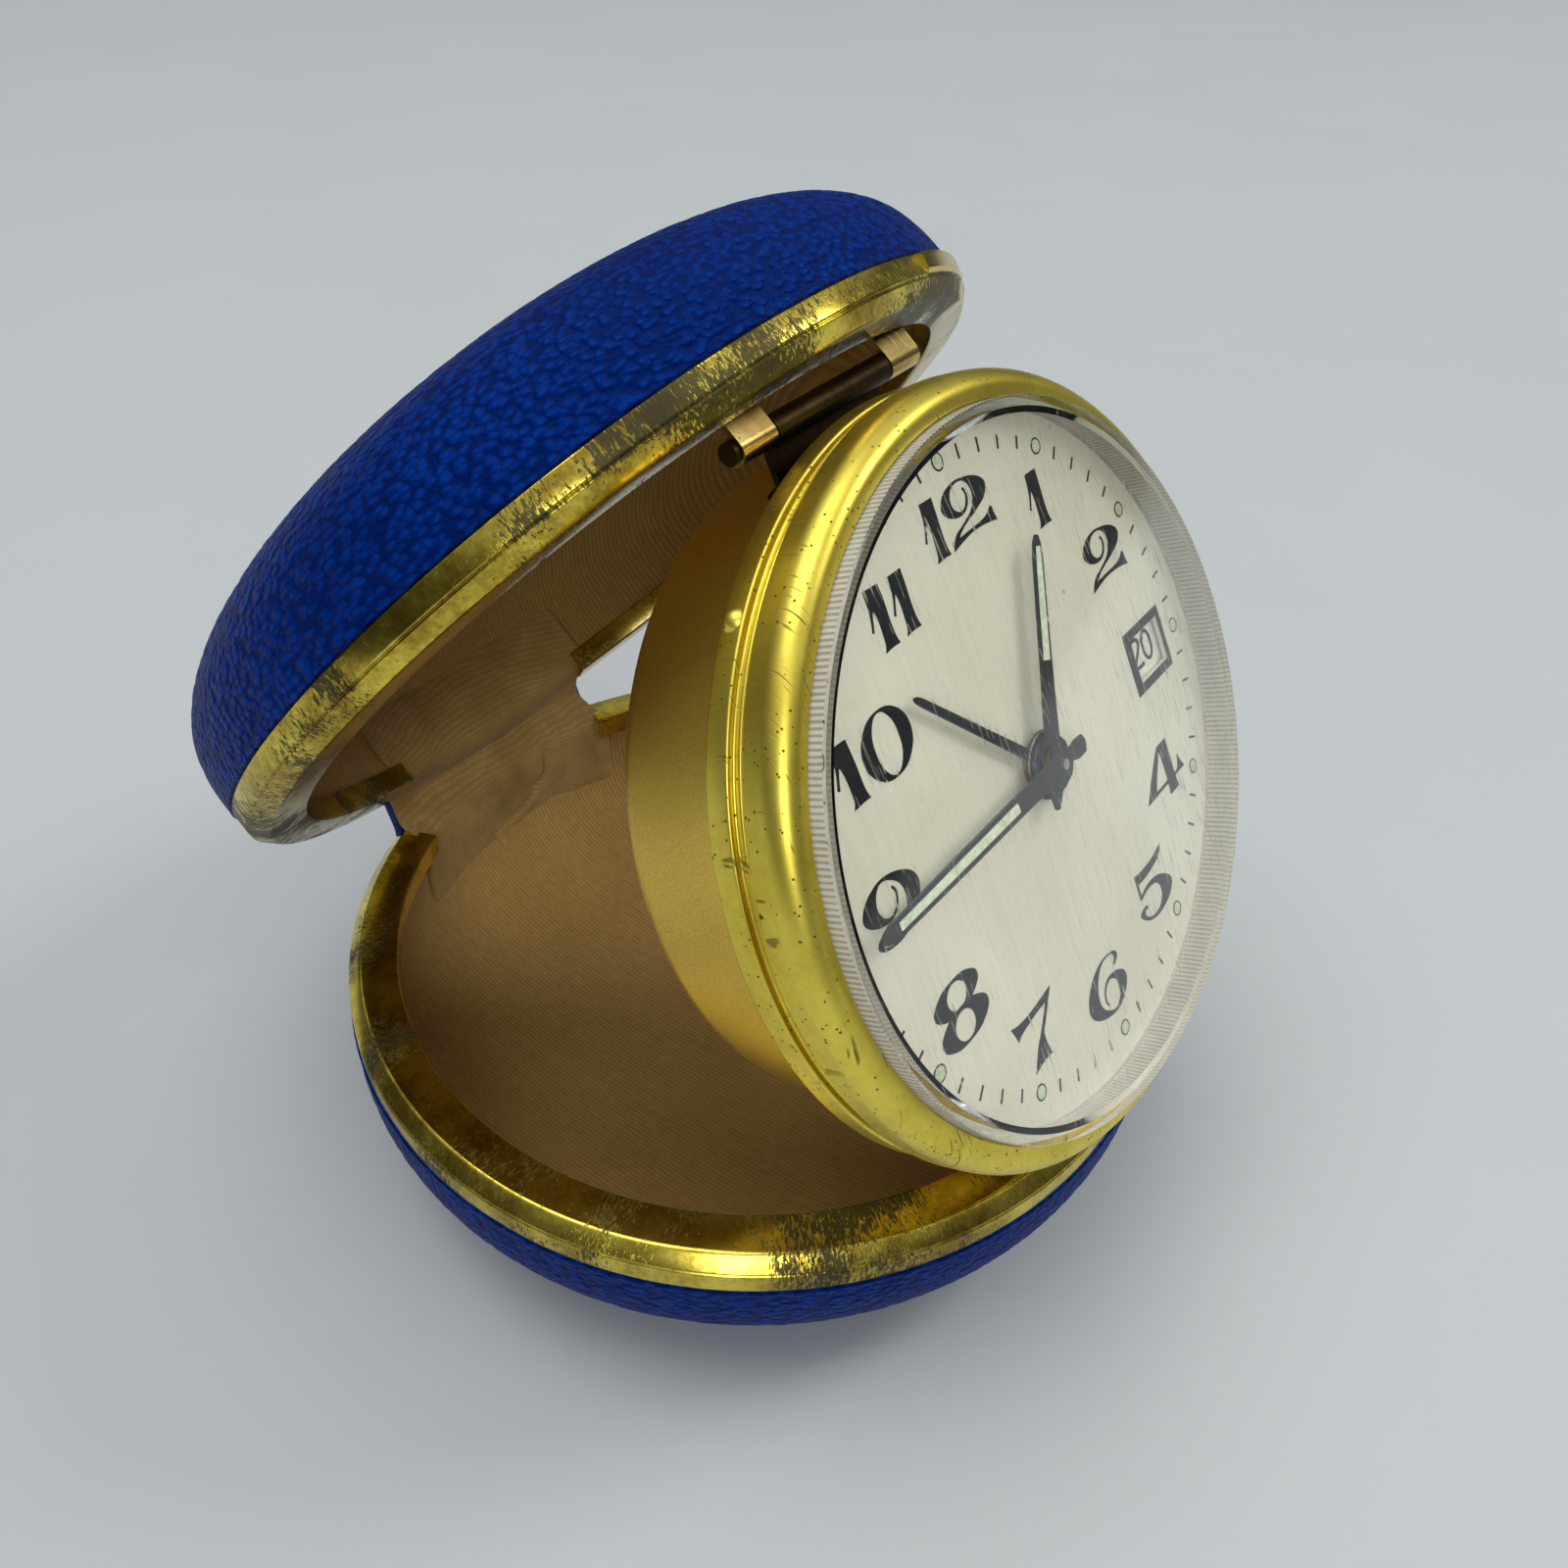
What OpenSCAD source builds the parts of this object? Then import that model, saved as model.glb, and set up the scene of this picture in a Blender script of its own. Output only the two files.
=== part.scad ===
// Folding travel alarm clock: two leather covered half shells joined by a soft strap, with a
// round clock head hinged to the front edge of the lid. Front faces -Y, up is +Z, and the
// origin is the centre of the flat foot. All lengths are in millimetres.

/* [Case halves] */
// Outer radius of both brass rims
rim_r = 38; // [35:0.5:44]
// Depth of each half from its rim face to its crown
half_h = 18.4; // [17:0.1:22]
// Height of the polished outer band of a rim
band_h = 2.2; // [1.5:0.1:3.5]
// Height and width of the bevel above the band
bevel = 1.15; // [0.6:0.05:2]
// Width of the flat rim face
land_w = 3.35; // [2.5:0.05:5]
// Thickness of the rim sheet
rim_t = 0.7; // [0.4:0.05:1]
// Depth of the lip turned down inside the rim
lip_h = 2.4; // [1.6:0.1:4]
// Width of the line rolled between band and bevel
line_w = 0.3; // [0.1:0.05:0.6]
// Depth of the rolled line
line_d = 0.22; // [0.05:0.01:0.4]
// Thickness of the leather skin
leather_t = 0.85; // [0.5:0.05:1.5]
// Thickness of the pressed shell
shell_t = 0.6; // [0.4:0.05:1]
// Thickness of the lining
lining_t = 0.7; // [0.4:0.05:1.2]
// Height cut from the crown of the lower half as its foot
foot_cut = 0.5; // [0.2:0.05:0.8]
// How square the side of a half is
side_power = 2.6; // [2:0.1:4]
// How flat the crown of a half is
crown_power = 2.8; // [2:0.1:4]

/* [Strap hinge] */
// Angle between the two rim faces
open_angle = 52.7; // [45:0.1:60]
// Distance of the strap's fold line inside the rim's outer edge
hinge_inset = 0.6; // [0.3:0.1:1.5]
// Height of the fold line over the lower rim face
hinge_rise = 1.5; // [1.2:0.1:3]
// Height of the fold line over the lid's rim face
hinge_drop = 0.5; // [0.3:0.1:1]
// Width of the strap, as a share of the rims' radius
strap_share = 0.7; // [0.5:0.01:0.8]
// Thickness of the strap
strap_t = 0.9; // [0.6:0.1:1.2]
// Length of strap glued inside each half
strap_tail = 8; // [5:0.5:11]
// Gap between the strap and the ends of the rim
strap_gap = 0.4; // [0.2:0.1:1]

/* [Head hinge] */
// Distance of the head's hinge inside the opening of the rim
pivot_inset = 3.1; // [2.8:0.1:3.7]
// Distance of the head's hinge outside the lid's rim face
pivot_drop = 1.6; // [1.4:0.1:2.5]
// Distance of the head's hinge behind the dial
pivot_back = 7.3; // [6.8:0.1:9]
// Lean of the dial back from upright
clock_lean = 27; // [24:0.5:30]
// Radius of the rolled knuckles
knuckle_r = 1.1; // [0.9:0.05:1.4]
// Radius of the hinge pin
hinge_pin_r = 0.6; // [0.4:0.05:0.7]
// Half width of the clock side barrel, as a share of the rims' radius
barrel_share = 0.1842; // [0.14:0.001:0.2]
// Width of each arm on the lid side, as a share of the rims' radius
arm_share = 0.1; // [0.08:0.005:0.11]
// Thickness of the hinge sheet
hinge_sheet = 0.5; // [0.3:0.05:0.6]
// Depth of the bracket plate inside the lid's lip
bracket_h = 2.3; // [1.5:0.1:3]

/* [Clock head] */
// Outer radius of the drum, as a share of the rims' radius
drum_share = 0.6921; // [0.66:0.001:0.7]
// Distance from the dial to the drum's back
drum_back = 17.2; // [16.6:0.1:19]
// Wall of the drum
drum_t = 0.5; // [0.3:0.05:0.8]
// Radius of the drum's rolled back edge
drum_edge = 1.6; // [0.8:0.1:2.5]
// Outer radius of the flange behind the bezel, as a share of the rims' radius
flange_share = 0.7737; // [0.76:0.001:0.78]
// Distance from the dial to the back of the flange
flange_back = 4.9; // [4.2:0.1:5.5]
// Height of the flange's wide band
flange_band = 2; // [1.4:0.1:2.4]
// Height of the flange's narrow step
flange_step = 0.6; // [0.3:0.05:0.8]
// Width of the dark groove between flange and bezel
seam_w = 0.6; // [0.3:0.05:0.8]
// Distance that the bezel stands out past the flange
bezel_over = 0.3; // [0.1:0.05:0.5]
// Height of the bezel over the dial
bezel_h = 2.1; // [1.6:0.1:2.6]
// Radius of the crystal's side wall, as a share of the rims' radius
crystal_share = 0.7184; // [0.71:0.001:0.725]
// Height of the crystal's side wall over the dial
crystal_wall = 2.7; // [2.4:0.1:3.2]
// Height of the crystal's centre over the dial
crystal_top = 5; // [4.6:0.1:6]
// Thickness of the crystal
crystal_t = 0.9; // [0.6:0.05:1.1]
// Distance of the dial's edge inside the crystal's wall
dial_inset = 0.5; // [0.3:0.05:0.7]
// Thickness of the dial
dial_t = 0.4; // [0.3:0.05:0.5]
// Radius of the two pressed detents on the flange
detent_r = 1.1; // [0.8:0.1:1.4]
// Angle of each detent from twelve o'clock
detent_angle = 42; // [30:1:60]

/* [Dial and hands] */
// Inner edge of the date window, as a share of the dial's radius
window_in_share = 0.6343; // [0.6:0.005:0.66]
// Outer edge of the date window, as a share of the dial's radius
window_out_share = 0.8172; // [0.76:0.005:0.83]
// Height of the date window
window_h = 4; // [3:0.1:5]
// Length of the minute hand, as a share of the dial's radius
minute_share = 0.8843; // [0.75:0.005:0.91]
// Length of the hour hand, as a share of the dial's radius
hour_share = 0.6381; // [0.55:0.005:0.7]
// Length of the alarm hand, as a share of the dial's radius
alarm_share = 0.6157; // [0.5:0.005:0.65]
// Greatest width of the minute hand
minute_w = 1.9; // [1.4:0.05:2.4]
// Greatest width of the hour hand
hour_w = 2; // [1.6:0.05:2.6]
// Greatest width of the alarm hand
alarm_w = 0.75; // [0.5:0.05:1]
// Radius of the alarm hand's hub
alarm_hub_r = 2.65; // [2.2:0.05:3]
// Thickness of the hands
hand_t = 0.22; // [0.15:0.01:0.3]
// Minutes past the hour at rest
rest_minute = 45.2; // [0:0.1:60]
// Hour at rest
rest_hour = 12; // [0:1:12]
// Hour that the alarm is set to
rest_alarm = 10.5; // [0:0.1:12]

/* [Movement] */
// Gap between the front plate's edge and the inside of the drum
front_plate_gap = 0.2; // [0.1:0.05:0.4]
// Gap between the back plate's edge and the inside of the drum
back_plate_gap = 1.8; // [1.2:0.1:2.4]
// Distance from the dial to the front plate
plate_front = 3.2; // [3.1:0.05:3.4]
// Thickness of the front plate
front_plate_t = 1; // [0.8:0.1:1.2]
// Distance from the dial to the back plate
plate_back = 13.6; // [13.4:0.1:14]
// Thickness of the back plate
back_plate_t = 0.8; // [0.6:0.1:1]
// Radius of the wheels' arbors, as a share of the drum's radius
arbor_share = 0.0152; // [0.012:0.0001:0.0165]
// Running clearance round an arbor
run_gap = 0.06; // [0.03:0.01:0.09]
// Tooth module of the great wheels and the centre wheel, as a share of the drum's radius
power_share = 0.0114; // [0.01:0.0001:0.012]
// Tooth module of the third wheel, as a share of the drum's radius
third_share = 0.00836; // [0.008:0.0001:0.009]
// Tooth module of the fourth wheel, as a share of the drum's radius
fourth_share = 0.0076; // [0.007:0.0001:0.008]
// Tooth module of the wheels under the dial, as a share of the drum's radius
motion_share = 0.0137; // [0.013:0.0001:0.014]
// Thickness of the wheels
wheel_t = 0.45; // [0.3:0.05:0.5]
// Outer radius of the balance, as a share of the drum's radius
balance_share = 0.2586; // [0.23:0.001:0.265]
// Outer radius of the hairspring, as a share of the balance's radius
hairspring_share = 0.4853; // [0.4:0.005:0.52]

/* [Back controls] */
// Width of the winding keys
key_w = 13; // [10:0.5:14]
// Height of the winding keys' wings
key_h = 2.4; // [1.6:0.1:2.8]
// Thickness of the keys' wings
key_t = 0.9; // [0.6:0.1:1.4]
// Radius of the hand setting knob
set_knob_r = 3.8; // [3:0.1:4.2]
// Radius of the alarm setting knob
alarm_knob_r = 2.7; // [2:0.1:3]
// Height of the setting knobs
knob_h = 2; // [1.4:0.1:2.1]
// Travel of the alarm stop button
stop_travel = 1.2; // [0.8:0.1:1.4]
// Radius of the alarm stop button
stop_r = 1.9; // [1.4:0.1:2.4]

/* [Hidden] */

// Common values
cut = 1;
fine = 96;
small = 32;
dome_steps = 14;
snug = 0.05;

// Radii and depths of one half, measured from its axis and its rim face
face_z = half_h;
collar_h = bevel + band_h;
case_r = rim_r - rim_t;
leather_r = case_r + leather_t;
land_r = rim_r - bevel;
opening_r = land_r - land_w;
dome_h = half_h + foot_cut - collar_h;
lining_r = opening_r + rim_t + 2 * snug + lining_t;
lining_top = rim_t + 6 * snug;
lining_wall = lip_h + 3 * lining_t;
lining_bottom = half_h + foot_cut - leather_t - shell_t - 6 * snug;

// Radii that follow the rims
strap_w = strap_share * rim_r;
pivot_reach = opening_r - pivot_inset;
barrel_half_w = barrel_share * rim_r;
arm_w = arm_share * rim_r;
drum_r = drum_share * rim_r;
flange_r = flange_share * rim_r;
bezel_r = flange_r + bezel_over;
crystal_r = crystal_share * rim_r;
dial_r = crystal_r - dial_inset;
window_in = window_in_share * dial_r;
window_out = window_out_share * dial_r;
minute_len = minute_share * dial_r;
hour_len = hour_share * dial_r;
alarm_len = alarm_share * dial_r;
arbor_r = arbor_share * drum_r;
power_mod = power_share * drum_r;
third_mod = third_share * drum_r;
fourth_mod = fourth_share * drum_r;
motion_mod = motion_share * drum_r;
balance_r = balance_share * drum_r;
hairspring_r = hairspring_share * balance_r;

// Strap hinge
hinge_y = rim_r - hinge_inset;
notch_w = strap_w + 2 * strap_gap;
fold_gap = strap_t / 2 + 2 * snug;
function lining_in(d) = let (h = lining_bottom - lining_wall - lining_t)
    (lining_r - lining_t) * pow(1 - pow(max(d - lining_wall, 0) / h, crown_power), 1 / side_power);

// Head hinge: the pin's place in the room, worked out through the lid's angle
pivot_y = hinge_y - (pivot_reach + hinge_y) * cos(open_angle)
    - (pivot_drop + hinge_drop) * sin(open_angle);
pivot_z = face_z + hinge_rise + (pivot_reach + hinge_y) * sin(open_angle)
    - (pivot_drop + hinge_drop) * cos(open_angle);
dial_y = pivot_y - pivot_reach * sin(clock_lean) - pivot_back * cos(clock_lean);
dial_z = pivot_z - pivot_reach * cos(clock_lean) + pivot_back * sin(clock_lean);
arm_in = barrel_half_w + 4 * snug;
arm_out = arm_in + arm_w;
pin_half_w = arm_out + hinge_sheet;
bore_gap = 0.04;

// Levels in the head, measured along its axis from the dial's face
drum_in = drum_r - drum_t;
front_plate_r = drum_in - front_plate_gap;
back_plate_r = drum_in - back_plate_gap;
flange_mid = -flange_back + flange_band;
flange_top = flange_mid + flange_step;
seam_r = flange_r - 1.2 * flange_step - seam_w;
bezel_base = flange_top + seam_w;
bezel_in = crystal_r + snug;
ledge_r = crystal_r + 1.5 * seam_w;
pi_value = 3.14159265;
half_turn = 180;

// Places of the arbors in the movement
lantern_share = 0.2;
time_n = 72;
centre_n = 60;
centre_pins = 12;
third_pins = 8;
third_n = 64;
fourth_pins = 8;
fourth_n = 60;
escape_pins = 6;
escape_n = 15;
cannon_pins = 10;
minute_n = 30;
minute_pins = 8;
hour_n = 32;
alarm_n = 48;
alarm_pins = 8;
alarm_great_n = 40;
alarm_escape_pins = 8;
function polar(r, a) = [r * cos(a), r * sin(a)];
function gear_r(n, m) = n * m / 2;
time_a = 200;
time_c = polar(gear_r(time_n + centre_pins, power_mod), time_a);
third_a = 50;
third_c = polar(gear_r(centre_n + third_pins, power_mod), third_a);
fourth_a = -25;
fourth_c = third_c + polar(gear_r(third_n + fourth_pins, third_mod), fourth_a);
escape_a = -95;
escape_c = fourth_c + polar(gear_r(fourth_n + escape_pins, fourth_mod), escape_a);
escape_r = 0.77 * gear_r(fourth_n, fourth_mod);
pallet_a = -110;
pallet_d = 1.18 * escape_r;
pallet_c = escape_c + polar(pallet_d, pallet_a);
balance_a = -140;
balance_c = pallet_c + polar(1.25 * balance_r, balance_a);
minute_a = -60;
minute_c = polar(gear_r(cannon_pins + minute_n, motion_mod), minute_a);
alarm_set_a = 105;
alarm_set_c = polar(gear_r(alarm_n + alarm_pins, motion_mod), alarm_set_a);
alarm_c = [-0.332 * drum_in, 0.554 * drum_in];
alarm_escape_a = 25;
alarm_escape_c = alarm_c + polar(gear_r(alarm_great_n + alarm_escape_pins, power_mod),
    alarm_escape_a);
alarm_escape_r = 0.3 * balance_r;
hammer_a = -5;
hammer_c = alarm_escape_c + polar(1.25 * alarm_escape_r + arbor_r, hammer_a);
stop_c = [0.47 * drum_in, 0.42 * drum_in];

// Levels of the train between the plates
room_front = -plate_front - front_plate_t;
room_back = -plate_back;
level_gap = 0.35;
motion_t = 0.7 * wheel_t;
centre_z = room_back + level_gap;
third_z = centre_z + 3.2 * wheel_t + level_gap;
fourth_z = third_z + 3 * wheel_t + level_gap;
escape_z = fourth_z + 3 * wheel_t + level_gap;
balance_t = 1.8 * wheel_t;
balance_z = room_front - 2 * level_gap - balance_t - wheel_t;
time_z = room_front - 2 * level_gap - wheel_t;
barrel_back = centre_z + wheel_t + level_gap;
cap_t = wheel_t / 2;
cap_gap = 0.06;
cap_over = cap_t + cap_gap;
date_top = -dial_t - 4 * snug;
date_t = 0.35;
alarm_z = -dial_t - cap_over - snug - wheel_t;
hour_z = alarm_z - cap_over - cap_gap - wheel_t;
motion_z = -plate_front + 2 * cap_gap + cap_over;
alarm_tube_r = 1.85;
tube_t = 0.4;
hour_tube_r = alarm_tube_r - tube_t - run_gap;
cannon_r = hour_tube_r - tube_t - run_gap;
alarm_top = 0.7;
hand_gap = 0.4;
hour_top = alarm_top + hand_t + hand_gap;
minute_top = hour_top + hand_t + hand_gap;
date_in = 0.8 * window_in;
date_out = window_out + 2 * date_t + window_h / 3;
back_out = -drum_back;
knob_top = back_out - knob_h - 2 * level_gap;
key_top = knob_top - 2 * level_gap;

// Place things in the frame of the lid, or of the head
module in_lid() {
    translate([0, hinge_y, face_z + hinge_rise])
        rotate([-open_angle, 0, 0])
            translate([0, -hinge_y, -hinge_drop])
                children();
}
module in_head() {
    translate([0, dial_y, dial_z])
        rotate([90 - clock_lean, 0, 0])
            children();
}
module in_base() {
    translate([0, 0, face_z])
        mirror([0, 0, 1])
            children();
}
module at(place) {
    translate([place[0], place[1], 0])
        children();
}
module disc(r, z, t) {
    translate([0, 0, z])
        cylinder(r = r, h = t, $fn = fine);
}
module rod(r, z0, z1) {
    translate([0, 0, z0])
        cylinder(r = r, h = z1 - z0, $fn = small);
}
module tube(r_out, r_in, z0, z1) {
    rotate_extrude($fn = fine)
        translate([r_in, z0])
            square([r_out - r_in, z1 - z0]);
}

// One half of the case, with its rim face at zero and its crown towards +Z
function dome_points(r, h) = [for (i = [0:dome_steps]) let (a = 90 * i / dome_steps)
    [r * pow(cos(a), 2 / side_power), h * pow(sin(a), 2 / crown_power)]];
function dome_down(r, h) = let (p = dome_points(r, h))
    [for (i = [dome_steps:-1:0]) p[i]];

module half_leather() {
    rotate_extrude($fn = fine)
        translate([0, collar_h])
            polygon(concat(dome_points(leather_r, dome_h),
                dome_down(case_r, dome_h - leather_t)));
}
module half_shell() {
    rotate_extrude($fn = fine) {
        translate([0, collar_h])
            polygon(concat(dome_points(case_r, dome_h - leather_t),
                dome_down(case_r - shell_t, dome_h - leather_t - shell_t)));
        translate([case_r - shell_t, bevel + rim_t])
            square([shell_t, band_h - rim_t]);
    }
}
module notch(depth) {
    translate([-notch_w / 2, 0, -cut])
        cube([notch_w, rim_r + cut, depth + cut]);
}
module half_rim() {
    difference() {
        rotate_extrude($fn = fine)
            polygon([[rim_r, collar_h], [rim_r, bevel + line_w], [rim_r - line_d, bevel + line_w / 2],
                [rim_r, bevel], [land_r, 0], [opening_r + line_d, 0], [opening_r, line_d],
                [opening_r, lip_h], [opening_r + rim_t, lip_h], [opening_r + rim_t, rim_t],
                [land_r - rim_t / 2, rim_t], [case_r, bevel + rim_t / 2], [case_r, collar_h]]);
        notch(collar_h + cut);
    }
}
module half_lining() {
    wall = lining_wall;
    rotate_extrude($fn = fine) {
        translate([0, wall])
            polygon(concat(dome_points(lining_r, lining_bottom - wall),
                dome_down(lining_r - lining_t, lining_bottom - wall - lining_t)));
        translate([lining_r - lining_t, lip_h])
            square([lining_t, wall - lip_h]);
        translate([lining_r - lining_t, lining_top])
            square([lining_t, lip_h - lining_top]);
    }
}
// Soft strap of one half: a tail glued inside the wall and a lap that runs to the fold line
module half_strap(lap_z) {
    tail_in = lining_in(strap_tail) - snug - strap_t;
    intersection() {
        tube(tail_in + strap_t, tail_in, lap_z, strap_tail);
        translate([-strap_w / 2, 0, lap_z])
            cube([strap_w, rim_r, strap_tail - lap_z]);
    }
    translate([0, 0, lap_z])
        linear_extrude(strap_t)
            difference() {
                translate([-strap_w / 2, hinge_y / 2])
                    square([strap_w, hinge_y / 2 - fold_gap]);
                circle(r = tail_in, $fn = fine);
            }
}

module base_shell() { color("silver") in_base() half_shell(); }
module base_leather() {
    color("royalblue")
        difference() {
            in_base() half_leather();
            translate([0, 0, -cut])
                cylinder(r = rim_r, h = cut, $fn = fine);
        }
}
module base_rim() { color("gold") in_base() half_rim(); }
module base_lining() { color("tan") in_base() half_lining(); }
module strap_base() {
    color("tan") in_base() half_strap(-hinge_rise + 3 * snug);
}
module lid_shell() { color("silver") in_lid() half_shell(); }
module lid_leather() { color("royalblue") in_lid() half_leather(); }
module lid_rim() { color("gold") in_lid() half_rim(); }
module lid_lining() { color("tan") in_lid() half_lining(); }
module strap_lid() {
    color("tan") in_lid() half_strap(-hinge_drop + strap_t / 2 + snug);
}
// Thumb piece pressed out of the lid's band, to the right of the front
module opening_tab() {
    tab_angle = 28;
    tab_sweep = 22;
    tab_t = rim_t * 0.8;
    color("gold")
        in_lid()
            rotate([0, 0, -90 + tab_angle - tab_sweep / 2])
                rotate_extrude(angle = tab_sweep, $fn = fine)
                    polygon([[rim_r, bevel + line_w], [rim_r + tab_t / 2, bevel + line_w + tab_t / 2],
                        [rim_r + tab_t, collar_h - tab_t], [rim_r + tab_t, collar_h - tab_t / 2],
                        [rim_r, collar_h - tab_t / 4]]);
}

// Hinge between lid and head
module arm(side) {
    x0 = side > 0 ? arm_in : -arm_out;
    translate([x0, 0, 0])
        rotate([90, 0, 90])
            linear_extrude(arm_w)
                difference() {
                    union() {
                        translate([-pivot_reach, -pivot_drop])
                            circle(r = knuckle_r, $fn = small);
                        translate([-pivot_reach - knuckle_r, -pivot_drop])
                            square([hinge_sheet, pivot_drop + bracket_h]);
                    }
                    translate([-pivot_reach, -pivot_drop])
                        circle(r = hinge_pin_r + bore_gap, $fn = small);
                    translate([-pivot_reach, -pivot_drop])
                        square(knuckle_r + cut);
                }
}
module hinge_bracket() {
    plate_r = opening_r - snug;
    color("goldenrod")
        in_lid() {
            intersection() {
                tube(plate_r, plate_r - hinge_sheet, line_d + snug, bracket_h);
                translate([-arm_out, -rim_r, 0])
                    cube([2 * arm_out, rim_r, bracket_h]);
            }
            for (side = [-1, 1])
                arm(side);
            intersection() {
                translate([0, 0, bracket_h - hinge_sheet])
                    linear_extrude(hinge_sheet)
                        for (side = [-1, 1])
                            translate([side > 0 ? arm_in : -arm_out, -plate_r])
                                square([arm_w, plate_r - pivot_reach - knuckle_r + hinge_sheet]);
                cylinder(r = plate_r, h = bracket_h, $fn = fine);
            }
        }
}
module hinge_pin() {
    color("goldenrod")
        in_lid()
            translate([-pin_half_w, -pivot_reach, -pivot_drop])
                rotate([0, 90, 0]) {
                    cylinder(r = hinge_pin_r, h = 2 * pin_half_w, $fn = small);
                    for (x = [0, 2 * pin_half_w - hinge_sheet * 0.8])
                        translate([0, 0, x])
                            cylinder(r = hinge_pin_r + hinge_sheet / 2, h = hinge_sheet * 0.8, $fn = small);
                }
}
module hinge_leaf() {
    foot_r = drum_r + snug;
    foot_front = -flange_back - 2 * snug;
    foot_back = -pivot_back - 2 * knuckle_r;
    color("goldenrod")
        in_head()
            difference() {
                union() {
                    translate([-barrel_half_w, pivot_reach, -pivot_back])
                        rotate([0, 90, 0])
                            cylinder(r = knuckle_r, h = 2 * barrel_half_w, $fn = small);
                    intersection() {
                        tube(foot_r + hinge_sheet, foot_r, foot_back, foot_front);
                        translate([-barrel_half_w, 0, foot_back])
                            cube([2 * barrel_half_w, drum_r + 2 * hinge_sheet, foot_front - foot_back]);
                    }
                    translate([0, 0, -pivot_back - knuckle_r])
                        linear_extrude(hinge_sheet)
                            difference() {
                                translate([-barrel_half_w, 0])
                                    square([2 * barrel_half_w, pivot_reach]);
                                circle(r = foot_r, $fn = fine);
                            }
                }
                translate([-barrel_half_w - cut, pivot_reach, -pivot_back])
                    rotate([0, 90, 0])
                        cylinder(r = hinge_pin_r + bore_gap, h = 2 * barrel_half_w + 2 * cut, $fn = small);
            }
}

// Housing of the head
module case_drum() {
    color("darkkhaki")
        in_head()
            difference() {
                rotate_extrude($fn = fine) {
                    difference() {
                        union() {
                            translate([0, back_out])
                                square([drum_r - drum_edge, drum_edge]);
                            translate([0, back_out + drum_edge])
                                square([drum_r, drum_back - drum_edge - flange_back]);
                            translate([drum_r - drum_edge, back_out + drum_edge])
                                circle(r = drum_edge, $fn = fine);
                        }
                        translate([0, back_out + drum_t])
                            square([drum_in - drum_edge, drum_edge]);
                        translate([0, back_out + drum_edge + drum_t])
                            square([drum_in, drum_back]);
                        translate([drum_in - drum_edge, back_out + drum_edge + drum_t])
                            circle(r = drum_edge, $fn = fine);
                        translate([-drum_r, back_out - cut])
                            square([drum_r, drum_back]);
                    }
                }
                for (hole = [[time_c, 2 * arbor_r], [alarm_c, 2 * arbor_r], [[0, 0], 1.5 * arbor_r],
                        [alarm_set_c, 1.5 * arbor_r], [stop_c, stop_r / 2 + run_gap]])
                    at(hole[0])
                        rod(hole[1], back_out - cut, back_out + drum_edge + cut);
                at(balance_c)
                    regulator_slot();
                for (a = screw_angles)
                    rotate([0, 0, a])
                        translate([screw_ring, 0, 0])
                            rod(screw_r + run_gap, back_out - cut, back_out + drum_edge + cut);
            }
}
module regulator_slot() {
    for (a = [-30:10:30])
        rotate([0, 0, regulator_a + a])
            translate([regulator_len, 0, 0])
                rod(2.2 * arbor_r, back_out - cut, back_out + drum_edge + cut);
}
module case_flange() {
    color("gold")
        in_head() {
            rotate_extrude($fn = fine)
                polygon([[drum_in, -flange_back], [flange_r - line_d, -flange_back],
                    [flange_r, -flange_back + line_d], [flange_r, flange_mid - line_d],
                    [flange_r - line_d, flange_mid], [flange_r - flange_step, flange_mid],
                    [flange_r - flange_step, flange_top - line_d],
                    [flange_r - flange_step - line_d, flange_top], [seam_r, flange_top],
                    [seam_r, bezel_base], [ledge_r - snug, bezel_base], [ledge_r - snug, -dial_t],
                    [front_plate_r - front_plate_t, -dial_t],
                    [front_plate_r - front_plate_t, -plate_front + snug],
                    [front_plate_r + snug, -plate_front + snug],
                    [front_plate_r + snug, -plate_front - front_plate_t],
                    [drum_in, -plate_front - front_plate_t]]);
            for (a = [-detent_angle, detent_angle])
                rotate([0, 0, 90 + a])
                    translate([flange_r - 0.55 * detent_r, 0, flange_mid - detent_r])
                        sphere(r = detent_r, $fn = small);
        }
}
module bezel() {
    top_r = crystal_r + 0.35 * (bezel_r - crystal_r);
    bow = bezel_r - top_r;
    color("gold")
        in_head()
            rotate_extrude($fn = fine)
                polygon(concat(
                    [[ledge_r, bezel_base + snug], [bezel_r - 2 * line_d, bezel_base + snug],
                        [bezel_r, bezel_base + 2 * line_d]],
                    [for (a = [0:10:90]) [top_r + bow * cos(a), bezel_h * (0.1 + 0.9 * sin(a))]],
                    [[bezel_in, bezel_h - line_d], [bezel_in, dial_t + snug],
                        [ledge_r, dial_t + snug]]));
}
module crystal() {
    shoulder = crystal_t;
    rise = crystal_top - crystal_wall - shoulder * 0.6;
    inner_r = crystal_r - crystal_t;
    foot_out = ledge_r - snug;
    function bow(r, x, base, up) = base + up * (1 - pow(x / r, 2));
    color([0.85, 0.9, 0.9, 0.4])
        in_head()
            rotate_extrude($fn = fine)
                polygon(concat(
                    [[inner_r, snug], [dial_r + snug, snug], [dial_r + snug, -dial_t + snug],
                        [foot_out, -dial_t + snug], [foot_out, dial_t], [crystal_r, dial_t],
                        [crystal_r, crystal_wall]],
                    [for (i = [0:10]) let (x = (crystal_r - shoulder) * (1 - i / 10))
                        [x, bow(crystal_r - shoulder, x, crystal_wall + shoulder * 0.6, rise)]],
                    [for (i = [0:10]) let (x = (inner_r - shoulder) * i / 10)
                        [x, bow(inner_r - shoulder, x, crystal_wall + shoulder * 0.6, rise) - crystal_t]],
                    [[inner_r, crystal_wall - shoulder / 2]]));
}
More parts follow.
